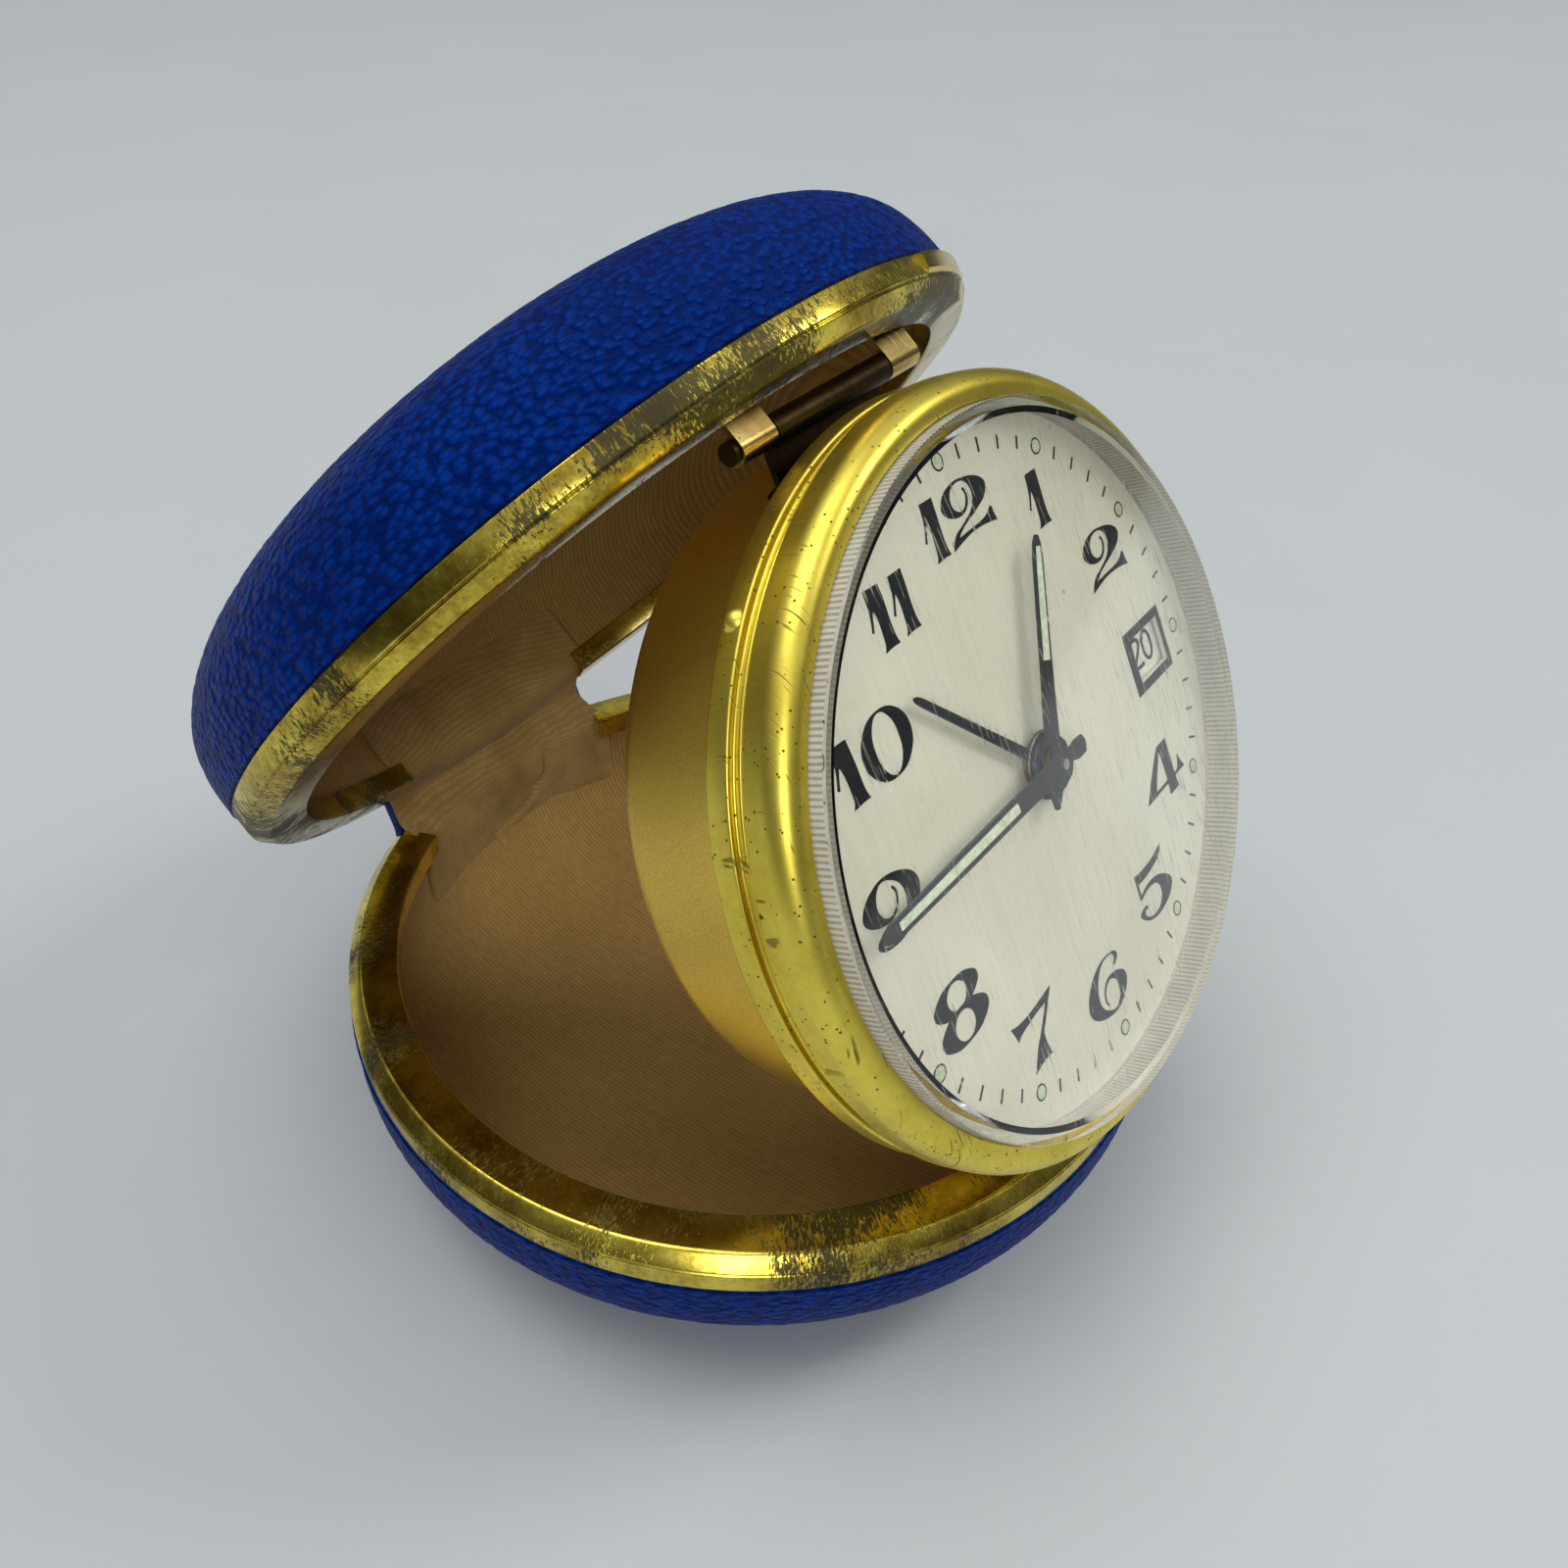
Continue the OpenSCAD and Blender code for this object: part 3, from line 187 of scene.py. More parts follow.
class Finish:
    """One material: its nodes, and the shader whose sockets they feed"""

    def __init__(self, name, **constants):
        self.material = bpy.data.materials.new(name)
        self.material.use_nodes = True
        self.tree = self.material.node_tree
        self.tree.nodes.clear()
        self.output = self.tree.nodes.new("ShaderNodeOutputMaterial")
        self.shader = self.tree.nodes.new("ShaderNodeBsdfPrincipled")
        self.tree.links.new(self.shader.outputs[0], self.output.inputs[0])
        self.set(**constants)
        self.place = self.node("ShaderNodeTexCoord", out="Object")

    def node(self, kind, settings=None, out=0, **inputs):
        node = self.tree.nodes.new(kind)
        for name, value in (settings or {}).items():
            setattr(node, name, value)
        for name, value in inputs.items():
            plug(self.tree, node.inputs[name.replace("_", " ")], value)
        return Value(self.tree, node.outputs[out])

    def set(self, **sockets):
        for name, value in sockets.items():
            plug(self.tree, self.shader.inputs[name.replace("_", " ")], value)

    def turned(self, scale=(1, 1, 1), rotation=(0, 0, 0), location=(0, 0, 0)):
        """Object coordinates, stretched, turned and moved"""
        return self.node("ShaderNodeMapping", Vector=self.place, Scale=scale,
                         Rotation=rotation, Location=location)

    def within(self, place):
        """Object coordinates, seen from a half or from the head"""
        inverse = place.inverted()
        return self.turned(rotation=inverse.to_euler(), location=inverse.translation)

    def along(self, where, axes):
        """The named coordinates of a vector, one value each"""
        return [self.node("ShaderNodeSeparateXYZ", Vector=where, out=axis) for axis in axes]

    def noise(self, per_mm, detail=3.0, rough=0.55, where=None, warp=0.0):
        return self.node("ShaderNodeTexNoise", Vector=where or self.place, Scale=per_mm / mm,
                         Detail=detail, Roughness=rough, Distortion=warp)

    def cells(self, per_mm, feature="F1", where=None, **more):
        return self.node("ShaderNodeTexVoronoi", {"feature": feature}, "Distance",
                         Vector=where or self.place, Scale=per_mm / mm, **more)

    def warped(self, per_mm, reach):
        """Object coordinates, pushed about by soft noise"""
        push = self.node("ShaderNodeTexNoise", None, "Color", Vector=self.place, Scale=per_mm / mm,
                         Detail=1.0)
        node = self.tree.nodes.new("ShaderNodeVectorMath")
        node.operation = "MULTIPLY_ADD"
        for place, value in enumerate((push, (reach, reach, reach), self.place)):
            plug(self.tree, node.inputs[place], value)
        return Value(self.tree, node.outputs[0])

    def mix(self, low, high, share):
        node = self.tree.nodes.new("ShaderNodeMix")
        node.data_type = "RGBA"
        plug(self.tree, node.inputs["Factor"], share)
        plug(self.tree, node.inputs[6], low)
        plug(self.tree, node.inputs[7], high)
        return Value(self.tree, node.outputs[2])

    def bump(self, height, depth, strength=1.0):
        """A bump of that depth in metres for a height from 0 to 1"""
        normal = self.node("ShaderNodeBump", Height=height, Distance=depth, Strength=strength)
        self.set(Normal=normal)


def srgb(red, green, blue):
    """A colour given as 0 to 255 in sRGB, in linear light"""
    def linear(value):
        value /= 255
        return value / 12.92 if value <= 0.04045 else ((value + 0.055) / 1.055) ** 2.4
    return (linear(red), linear(green), linear(blue))


# Finishes

RIBS = 2.4 / mm
REEDS = 400


def leather_finish(name, half):
    """Blue grained leather: soft pebbles, wider along the rim, with painted shade in the creases and a
    painted highlight on the crests
    """
    f = Finish(name, Specular_IOR_Level=0.16, Specular_Tint=srgb(70, 150, 255))
    f.place = f.node("ShaderNodeMapping", Vector=f.within(half), Scale=(1, 1, 1.45))
    where = f.warped(0.5, 0.5 * mm)
    pebbles, small = (1 - f.cells(per_mm, "SMOOTH_F1", where, Smoothness=0.4, Randomness=0.85)
                      for per_mm in (1.15, 2.7))
    fine = f.noise(5.0, 3, 0.6)
    height = pebbles.above(0.22, 0.84) * 0.8 + small * 0.2 + fine * 0.1
    patch = f.noise(0.06, 3)
    body = f.mix(srgb(0, 32, 104), srgb(0, 39, 120), patch.above(0.35, 0.68))
    # Painted shade and highlight: the colour is darker in the grain's creases and paler on its crests.
    painted_crease_shade = f.mix(srgb(0, 22, 84), body, height.above(0.2, 0.6))
    f.set(Base_Color=f.mix(painted_crease_shade, srgb(4, 56, 142), height.above(0.75, 1.02) * 0.4),
          Roughness=0.4 + fine * 0.2)
    f.bump(height, 0.3 * mm, 1.0)
    return f.material


def scratches(f, per_mm, turn, share):
    """Thin straight marks that run one way, 0 to 1"""
    along = f.turned(scale=(1, 0.06, 0.06), rotation=turn)
    line = f.noise(per_mm, 1, 0.5, along)
    return line.above(share, share + 0.03)


def brass_finish(name, light, dark, roughness, pits, wear):
    """Polished brass gone slightly green, with pits, rubbed marks and fine scratches"""
    f = Finish(name, Metallic=1.0)
    tone = f.noise(0.11, 3, 0.6)
    mottled = f.noise(1.4, 4, 0.65)
    colour = f.mix(light, dark, (tone * 0.75 + mottled * 0.35).above(0.38, 0.82))
    pit = 1 - f.cells(1.6).above(0.10, 0.2)
    seldom = f.noise(0.35, 2).above(0.62 - pits, 0.74 - pits)
    stained = f.mix(colour, srgb(70, 52, 14), pit * seldom * 0.9)
    lines = (scratches(f, 5.5, (0.3, 0.9, 0.5), 0.68) + scratches(f, 4.5, (1.2, 0.2, 1.9), 0.68)
             + scratches(f, 5.0, (2.2, 1.4, 0.2), 0.69)) * f.noise(0.25, 2).above(0.48, 0.62) * wear
    f.set(Base_Color=f.mix(stained, srgb(96, 84, 36), lines * 0.6),
          Roughness=roughness + mottled * 0.12 + lines * 0.25 + pit * seldom * 0.3)
    f.bump(mottled * 0.25 - lines * 0.6 - pit * seldom, 0.012 * mm, 0.6)
    return f.material


def rim_finish(name, half, pale, spot=None):
    """Polished brass of a rim, with short dark streaks of tarnish across it, most round the spot's angle,
    where the darkening is partly a painted dark reflection
    """
    f = Finish(name)
    x, y, z = f.along(f.within(half), "XYZ")
    radius = (x * x + y * y) ** 0.5
    turn = y.math("ARCTAN2", y, x)
    along = turn * RIM_R
    band = f.node("ShaderNodeCombineXYZ", X=along, Y=(radius + z) * 0.28, Z=(radius - z) * 0.1)
    streak = f.noise(4.6, 3, 0.7, band)
    hair = f.noise(1.1, 4, 0.75, f.node("ShaderNodeCombineXYZ", X=along * 6, Y=radius + z, Z=radius - z))
    patch = f.noise(0.075, 3, 0.6)
    dull = streak * 0.55 + hair * 0.35 + patch * 1.1
    # Round the spot's angle the band darkens more: partly real tarnish and partly a painted dark reflection.
    if spot:
        away = (turn - spot).math("ABSOLUTE", turn - spot)
        dull += (1 - away.above(0.06, 0.4)) * z.above(0.95 * mm, 1.25 * mm) * 0.13
    tarnish_and_dark_reflection = dull.above(1.065, 1.14)
    tone = f.noise(0.16, 3, 0.6)
    mottled = f.noise(1.8, 4, 0.65)
    brass = f.mix(srgb(236, 214, 88), srgb(150, 124, 40), (tone * 0.8 + mottled * 0.4).above(0.42, 0.78))
    pit = (1 - f.cells(1.7).above(0.08, 0.17)) * f.noise(0.3, 2).above(0.5, 0.64)
    stained = f.mix(brass, srgb(84, 64, 18), pit * 0.85)
    face = (LAND_R - radius).above(0.1 * mm, 0.4 * mm) * (1 - z.above(0.3 * mm, 0.8 * mm)) * pale
    worn = f.mix(stained, srgb(172, 164, 130), face)
    f.set(Base_Color=f.mix(worn, srgb(34, 33, 12), tarnish_and_dark_reflection * 0.9), Metallic=1 - tarnish_and_dark_reflection * 0.45,
          Roughness=0.13 + mottled * 0.1 + tarnish_and_dark_reflection * 0.3 + pit * 0.25)
    f.bump(mottled * 0.3 - pit - tarnish_and_dark_reflection * 0.7, 0.014 * mm, 0.6)
    return f.material


def satin_finish():
    """Matt gold of the drum"""
    f = Finish("satin_gold", Metallic=1.0)
    tone = f.noise(0.06, 2)
    grit = f.noise(6.5, 3, 0.7)
    shade = (tone * 0.5 + grit * 0.6).above(0.4, 0.75)
    f.set(Base_Color=f.mix(srgb(244, 213, 104), srgb(212, 177, 78), shade), Roughness=0.36 + grit * 0.14)
    f.bump(grit, 0.03 * mm, 0.6)
    return f.material


def lining_finish():
    """Brown bookcloth with fine uneven ribs"""
    f = Finish("tan_lining", Roughness=0.88, Specular_IOR_Level=0.18, Sheen_Weight=0.12)
    waver = f.noise(0.1, 2) * 7 + f.noise(0.8, 2) * 1.5
    x, = f.along(f.place, "X")
    across = x * (RIBS * 2 * math.pi) + waver
    rib = across.math("SINE", across)
    slub = f.noise(2.6, 4, 0.65, f.turned(scale=(1, 0.35, 0.35)))
    tone = f.noise(0.05, 2)
    shade = (rib * 0.14 + slub * 0.6 + tone * 0.5).above(0.2, 0.95)
    f.set(Base_Color=f.mix(srgb(144, 111, 56), srgb(186, 151, 90), shade))
    f.bump(rib * 0.35 + slub * 0.4, 0.07 * mm, 0.7)
    return f.material


def strap_finish():
    """Brown cloth of the strap's inside, with fine ribs across it, with creases darkened by painted shade,
    and a little soiled
    """
    f = Finish("tan_strap", Roughness=0.84, Specular_IOR_Level=0.2, Sheen_Weight=0.12)
    crease = f.noise(0.22, 4, 0.6, warp=0.8)
    z, = f.along(f.place, "Z")
    height = z * (RIBS * 2 * math.pi) + f.noise(0.12, 3) * 16
    rib = height.math("SINE", height)
    slub = f.noise(2.2, 3, 0.6)
    # The colour darkens where the crease noise sinks: painted shade in the creases, mixed with the slub and
    # rib tone of the cloth.
    shade = (crease * 0.6 + slub * 0.3 + rib * 0.08).above(0.25, 0.75)
    colour = f.mix(srgb(152, 120, 66), srgb(184, 152, 94), shade)
    f.set(Base_Color=f.mix(colour, srgb(112, 84, 42), f.noise(0.1, 3).above(0.52, 0.78) * 0.4))
    f.bump(crease * 0.5 + slub * 0.25 + rib * 0.15, 0.1 * mm, 0.7)
    return f.material


def back_finish():
    """Blue cloth of the strap's outside"""
    f = Finish("blue_cloth", Specular_IOR_Level=0.3)
    weave = f.noise(3.0, 4, 0.65)
    f.set(Base_Color=f.mix(srgb(8, 22, 88), srgb(26, 52, 130), weave.above(0.35, 0.7)),
          Roughness=0.6 + weave * 0.2)
    f.bump(weave, 0.08 * mm, 0.7)
    return f.material


def dial_finish():
    """Champagne lacquer, brushed under it, with small specks of age"""
    f = Finish("champagne_dial", Metallic=0.15, Coat_Weight=0.2, Coat_Roughness=0.25)
    cloud = f.noise(0.05, 2)
    brushed = f.noise(2.4, 2, 0.6, f.turned(scale=(1, 0.05, 0.05)))
    speck = 1 - f.cells(0.32).above(0.05, 0.09)
    few = f.noise(0.2, 1).above(0.55, 0.6)
    colour = f.mix(srgb(216, 212, 191), srgb(199, 194, 171), (cloud * 0.7 + brushed * 0.35).above(0.35, 0.8))
    f.set(Base_Color=f.mix(colour, srgb(120, 112, 88), speck * few * 0.5), Roughness=0.42 + brushed * 0.1)
    f.bump(brushed, 0.006 * mm, 0.3)
    return f.material


def ink_finish():
    """Printed black, worn through in small specks"""
    f = Finish("dial_print", Specular_IOR_Level=0.2)
    wear = f.noise(5.5, 4, 0.7)
    f.set(Base_Color=f.mix(srgb(8, 8, 12), srgb(112, 110, 108), wear.above(0.64, 0.74) * 0.7),
          Roughness=0.35 + wear * 0.3)
    f.bump(wear, 0.01 * mm, 0.4)
    return f.material


def hand_finish():
    """Black lacquer of the hands, slightly dusty"""
    f = Finish("hand_black", Coat_Weight=0.3, Coat_Roughness=0.25)
    dust = f.noise(2.6, 4, 0.65)
    f.set(Base_Color=f.mix(srgb(12, 13, 17), srgb(64, 64, 64), dust.above(0.55, 0.8) * 0.5),
          Roughness=0.3 + dust * 0.3)
    f.bump(dust, 0.008 * mm, 0.4)
    return f.material


def paint_finish(name, light, dark, roughness):
    """Thick paint with a little unevenness"""
    f = Finish(name, Specular_IOR_Level=0.35)
    lump = f.noise(1.7, 3)
    f.set(Base_Color=f.mix(light, dark, lump.above(0.35, 0.75)), Roughness=roughness + lump * 0.15)
    f.bump(lump, 0.02 * mm, 0.5)
    return f.material


def metal_finish(name, light, dark, roughness):
    """Plain metal with a fine brushed grain"""
    f = Finish(name, Metallic=1.0)
    grain = f.noise(2.2, 3, 0.6, f.turned(scale=(1, 0.12, 0.12), rotation=(0, 0, 0.4)))
    tone = f.noise(0.2, 2)
    f.set(Base_Color=f.mix(light, dark, (grain * 0.5 + tone * 0.6).above(0.35, 0.8)),
          Roughness=roughness + grain * 0.2)
    f.bump(grain, 0.008 * mm, 0.4)
    return f.material


def crystal_finish():
    """Clear acrylic that lets light through to the dial"""
    f = Finish("clear_crystal", IOR=1.49, Transmission_Weight=1.0, Specular_IOR_Level=0.32)
    haze = f.noise(0.9, 4, 0.6)
    marks = scratches(f, 4.0, (0.4, 1.1, 0.2), 0.7) + scratches(f, 4.5, (1.9, 0.5, 1.2), 0.71)
    f.set(Base_Color=f.mix((0.97, 0.98, 0.97), (0.93, 0.95, 0.94), haze.above(0.4, 0.8)),
          Roughness=0.02 + marks * 0.2 + haze.above(0.62, 0.8) * 0.08)
    f.bump(marks, 0.01 * mm, 0.3)
    blend = f.tree.nodes.new("ShaderNodeMixShader")
    plug(f.tree, blend.inputs[0], f.node("ShaderNodeLightPath", out="Is Shadow Ray"))
    plug(f.tree, blend.inputs[1], Value(f.tree, f.shader.outputs[0]))
    plug(f.tree, blend.inputs[2], f.node("ShaderNodeBsdfTransparent", Color=(0.96, 0.96, 0.95)))
    plug(f.tree, f.output.inputs[0], Value(f.tree, blend.outputs[0]))
    return f.material


def reeded_finish():
    """The crystal's reeded wall, frosted and greyed by wear, its tone darker on each reed's crest and paler
    in the grooves between the reeds
    """
    f = Finish("reeded_wall", IOR=1.49, Transmission_Weight=0.35, Specular_IOR_Level=0.5)
    cloud = f.noise(0.5, 4, 0.6)
    x, y = f.along(f.within(HEAD), "XY")
    turn = y.math("ARCTAN2", y, x) * REEDS
    reed = turn.math("COSINE", turn)
    shade = (cloud * 0.6 + reed * 0.3).above(0.1, 0.62)
    f.set(Base_Color=f.mix(srgb(222, 218, 206), srgb(160, 153, 136), shade), Roughness=0.3 + cloud * 0.2)
    f.bump(cloud, 0.01 * mm, 0.4)
    return f.material


LOWER_LEATHER = leather_finish("base_blue_leather", BASE)
UPPER_LEATHER = leather_finish("lid_blue_leather", LID)
LOWER_BRASS = rim_finish("lower_rim_brass", BASE, 0.1)
# The upper rim's spot angle gets extra darkening, partly a painted dark reflection.
UPPER_BRASS = rim_finish("upper_rim_brass", LID, 0.6, math.radians(-128))
TAB_BRASS = brass_finish("tab_brass", srgb(226, 200, 92), srgb(186, 158, 58), 0.12, 0.06, 1.0)
BEZEL_BRASS = brass_finish("bezel_brass", srgb(240, 220, 92), srgb(212, 188, 64), 0.31, 0.22, 1.0)
HINGE_BRASS = brass_finish("hinge_brass", srgb(226, 200, 124), srgb(150, 118, 62), 0.18, 0.14, 0.6)
# Very dark brass for the hinge pin and leaf: painted shade in the gap between the hinge arms.
PAINTED_SHADE_BRASS = metal_finish("painted_shade_brass", srgb(66, 52, 30), srgb(26, 20, 12), 0.35)
DRUM_GOLD = satin_finish()
LINING = lining_finish()
STRAP = strap_finish()
STRAP_BACK = back_finish()
DIAL = dial_finish()
INK = ink_finish()
HAND = hand_finish()
LUME = paint_finish("lume", srgb(206, 212, 186), srgb(176, 184, 152), 0.7)
DOT_PAINT = paint_finish("dot_paint", srgb(190, 196, 160), srgb(160, 164, 126), 0.7)
DATE_PAINT = paint_finish("date_paint", srgb(214, 210, 196), srgb(198, 192, 176), 0.5)
STEEL = metal_finish("bright_steel", srgb(206, 204, 198), srgb(160, 158, 152), 0.2)
BLUED = metal_finish("blued_spring", srgb(70, 84, 124), srgb(44, 50, 82), 0.25)
TRAIN_BRASS = metal_finish("train_brass", srgb(214, 184, 104), srgb(176, 144, 70), 0.25)
SHELL_STEEL = metal_finish("shell_steel", srgb(150, 148, 142), srgb(110, 108, 102), 0.4)
CRYSTAL = crystal_finish()
REEDED = reeded_finish()


# Modelling helpers

WELD = 0.0005 * mm


def pick(*pieces):
    """Select these pieces alone, or none, because an operator acts on all that is selected"""
    bpy.ops.object.select_all(action="DESELECT")
    for piece in pieces:
        piece.select_set(True)
        bpy.context.view_layer.objects.active = pieces[0]


def on_all(operator, **options):
    """Select the whole mesh in edit mode and use an operator on it"""
    bpy.ops.mesh.select_all(action="SELECT")
    operator(**options)


def reshape(piece, places):
    """Move the vertices of a piece to their new places"""
    piece.data.vertices.foreach_set("co", places)
    piece.data.update()


def finish_piece(piece, name, place, material, angle=30):
    """Name a new piece, put its place into its mesh, shade it and give it its material"""
    piece.name = name
    piece.data.name = name
    piece.data.transform(place @ piece.matrix_world)
    piece.matrix_world = Matrix.Identity(4)
    piece.data.materials.clear()
    piece.data.materials.append(material)
    pick(piece)
    bpy.ops.object.shade_smooth_by_angle(angle=math.radians(angle))
    pick()
    return piece


def eased(points, radius):
    """The closed outline with each corner turned into a small arc of about that radius"""
    steps = 4
    out = []
    for i, corner in enumerate(points):
        corner = Vector(corner)
        before = Vector(points[i - 1]) - corner
        after = Vector(points[(i + 1) % len(points)]) - corner
        if before.angle(after) > math.radians(165):
            out.append(tuple(corner))
            continue
        reach = min(radius, 0.45 * before.length, 0.45 * after.length)
        start = corner + before.normalized() * reach
        end = corner + after.normalized() * reach
        for k in range(steps + 1):
            t = k / steps
            out.append(tuple(start * (1 - t) ** 2 + corner * 2 * t * (1 - t) + end * t ** 2))
    return out


def lathe(name, outline, steps, place, material, closed=True, sweep=2 * math.pi, start=0.0, angle=30):
    """Draw an outline of (radius, height) points one vertex after another and spin it round the axis"""
    bpy.ops.mesh.primitive_plane_add(size=mm)
    piece = bpy.context.object
    bpy.ops.object.mode_set(mode="EDIT")
    bpy.ops.mesh.merge(type="CENTER")
    here = Vector((0, 0))
    path = [Vector(p) for p in outline] + ([Vector(outline[0])] if closed else [])
    turn = Matrix.Rotation(start, 3, "Z")
    for i, p in enumerate(path):
        step = turn @ Vector((p.x - here.x, 0, p.y - here.y))
        if i == 0:
            bpy.ops.transform.translate(value=step)
        else:
            bpy.ops.mesh.extrude_vertices_move(TRANSFORM_OT_translate={"value": step})
        here = p
    on_all(bpy.ops.mesh.remove_doubles, threshold=WELD)
    whole = sweep > 1.999 * math.pi
    turned = sweep / 8 if whole else sweep
    on_all(bpy.ops.mesh.spin, steps=steps // 8 if whole else steps, angle=turned, axis=(0, 0, 1))
    while whole and turned < 1.99 * math.pi:
        on_all(bpy.ops.mesh.duplicate)
        bpy.ops.transform.rotate(value=turned, orient_axis="Z", center_override=(0, 0, 0))
        turned *= 2
    on_all(bpy.ops.mesh.remove_doubles, threshold=WELD)
    if not whole:
        on_all(bpy.ops.mesh.fill_holes, sides=0)
    on_all(bpy.ops.mesh.normals_make_consistent, inside=False)
    bpy.ops.object.mode_set(mode="OBJECT")
    return finish_piece(piece, name, place, material, angle)


def even_steps(points, steps):
    """Even steps along a line of close points, as (point, distance), and the distances of its own points"""
    run = [0.0]
    for p, q in zip(points, points[1:]):
        run.append(run[-1] + math.hypot(q[0] - p[0], q[1] - p[1]))
    out, i = [], 0
    for k in range(steps + 1):
        goal = run[-1] * k / steps
        while i < len(points) - 2 and run[i + 1] < goal:
            i += 1
        share = (goal - run[i]) / (run[i + 1] - run[i])
        out.append((points[i].lerp(points[i + 1], share), goal))
    return out, run


def dome(r, h, base_z, steps):
    """Points up the side of a half shell, evenly spread, from its rim to its crown"""
    raw = []
    fine = 20 * steps
    for i in range(fine + 1):
        a = math.pi / 2 * i / fine
        reach, rise = math.cos(a) ** (2 / SIDE_POWER), math.sin(a) ** (2 / CROWN_POWER)
        raw.append(Vector((r * reach, base_z + h * rise)))
    return [tuple(point) for point, _ in even_steps(raw, steps)[0][:-1]] + [(0.0, base_z + h)]


def joined(name, pieces):
    """One piece of several"""
    pick(*pieces)
    bpy.ops.object.join()
    pieces[0].name = name
    pick()
    return pieces[0]


def set_material(node, material):
    """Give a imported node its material"""
    piece = frame["nodes"][node]
    piece.data.materials.clear()
    piece.data.materials.append(material)


def dress(piece, body, slot, *nodes):
    """Let a piece ride on its body and stand for its nodes; the slot argument is not used"""
    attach(piece, body)
    if nodes:
        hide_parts(*nodes)
    return piece


# Leather skins

GRAIN = 1.3 * mm
GRAIN_DEPTH = 0.12 * mm
THREE_PLACES = [Vector((0, 0, 40 * axis)) for axis in range(3)]


def pebble(point):
    """Height of the leather's grain at a point of a half, from 0 in a crease to 1 on a crest"""
    warped = Vector((point.x, point.y, point.z * 0.45))
    soft = point / (3.2 * mm)
    warped += 0.5 * GRAIN * Vector([noise.noise(soft + apart) for apart in THREE_PLACES])
    distances = noise.voronoi(warped / GRAIN)[0]
    crease = min((distances[1] - distances[0]) / 0.42, 1.0)
    crown = 1 - min(distances[0], 1.0) ** 2
    swell = 0.5 + 0.5 * noise.noise(point / (7 * mm))
    return (0.7 * crease * (2 - crease) + 0.3 * crown) * (0.7 + 0.3 * swell)


def leather_skin(name, place, material, foot):
    """Grained skin of one half, turned in under the edge of the band"""
    rows = 148
    turns = 520
    rise, turned_in, edge = 0.12 * mm, 0.25 * mm, COLLAR_H - 0.02 * mm
    outer = dome(LEATHER_R, DOME_H, COLLAR_H + rise, rows)
    inner = [(LEATHER_R - turned_in, edge), (LEATHER_R - LEATHER_T, edge)]
    skin = lathe(name, inner[::-1] + outer, turns, Matrix.Identity(4), material, closed=False, angle=60)
    shaped = []
    for vertex in skin.data.vertices:
        p = vertex.co.copy()
        fade = min(max((p.z - COLLAR_H - 0.05 * mm) / (0.3 * mm), 0.0), 1.0)
        if fade:
            p -= vertex.normal * GRAIN_DEPTH * (1 - pebble(p)) * fade
        shaped += [p.x, p.y, min(p.z, HALF_H) if foot else p.z]
    reshape(skin, shaped)
    return finish_piece(skin, name, place, material, 60)


dress(leather_skin("base_skin", BASE, LOWER_LEATHER, True), "base", "blue_leather", "base_leather")
dress(leather_skin("lid_skin", LID, UPPER_LEATHER, False), "lid", "blue_leather", "lid_leather")


# Brass rims

NOTCH_ANGLE = math.asin((STRAP_W / 2 + 0.4 * mm) / RIM_R)


def rim(name, place, material):
    """Rolled rim of one half: lip, flat face, bevel, scored line and outer band"""
    line, depth = 0.3 * mm, 0.22 * mm
    outline = [(RIM_R, COLLAR_H), (RIM_R, BEVEL + line), (RIM_R - depth, BEVEL + line / 2), (RIM_R, BEVEL),
               (LAND_R, 0), (OPENING_R, 0), (OPENING_R, LIP_H), (OPENING_R + RIM_T, LIP_H),
               (OPENING_R + RIM_T, RIM_T), (LAND_R - RIM_T / 2, RIM_T), (CASE_R, BEVEL + RIM_T / 2),
               (CASE_R, COLLAR_H)]
    return lathe(name, eased(outline, depth), SPIN_STEPS, place, material,
                 sweep=2 * math.pi - 2 * NOTCH_ANGLE, start=math.pi / 2 - NOTCH_ANGLE)


dress(rim("lower_rim", BASE, LOWER_BRASS), "base", "rim_brass", "base_rim")
dress(rim("upper_rim", LID, UPPER_BRASS), "lid", "rim_brass", "lid_rim")


# Linings

def lining(name, place):
    """Cloth cup of one half, from behind the rim's lip to the bottom"""
    wall = LIP_H + 3 * LINING_T
    bottom = HALF_H + FOOT_CUT - LEATHER_T - 0.9 * mm
    inside = LINING_R - LINING_T
    edge = RIM_T + 0.1 * mm
    outer = [(LINING_R, edge)] + dome(LINING_R, bottom - wall, wall, 40)
    inner = dome(inside, bottom - wall - LINING_T, wall, 40)[::-1] + [(inside, edge)]
    return lathe(name, outer + inner, 220, place, LINING)


dress(lining("lower_lining", BASE), "base", "tan_lining", "base_lining")
dress(lining("upper_lining", LID), "lid", "tan_lining", "lid_lining")


# Clock head

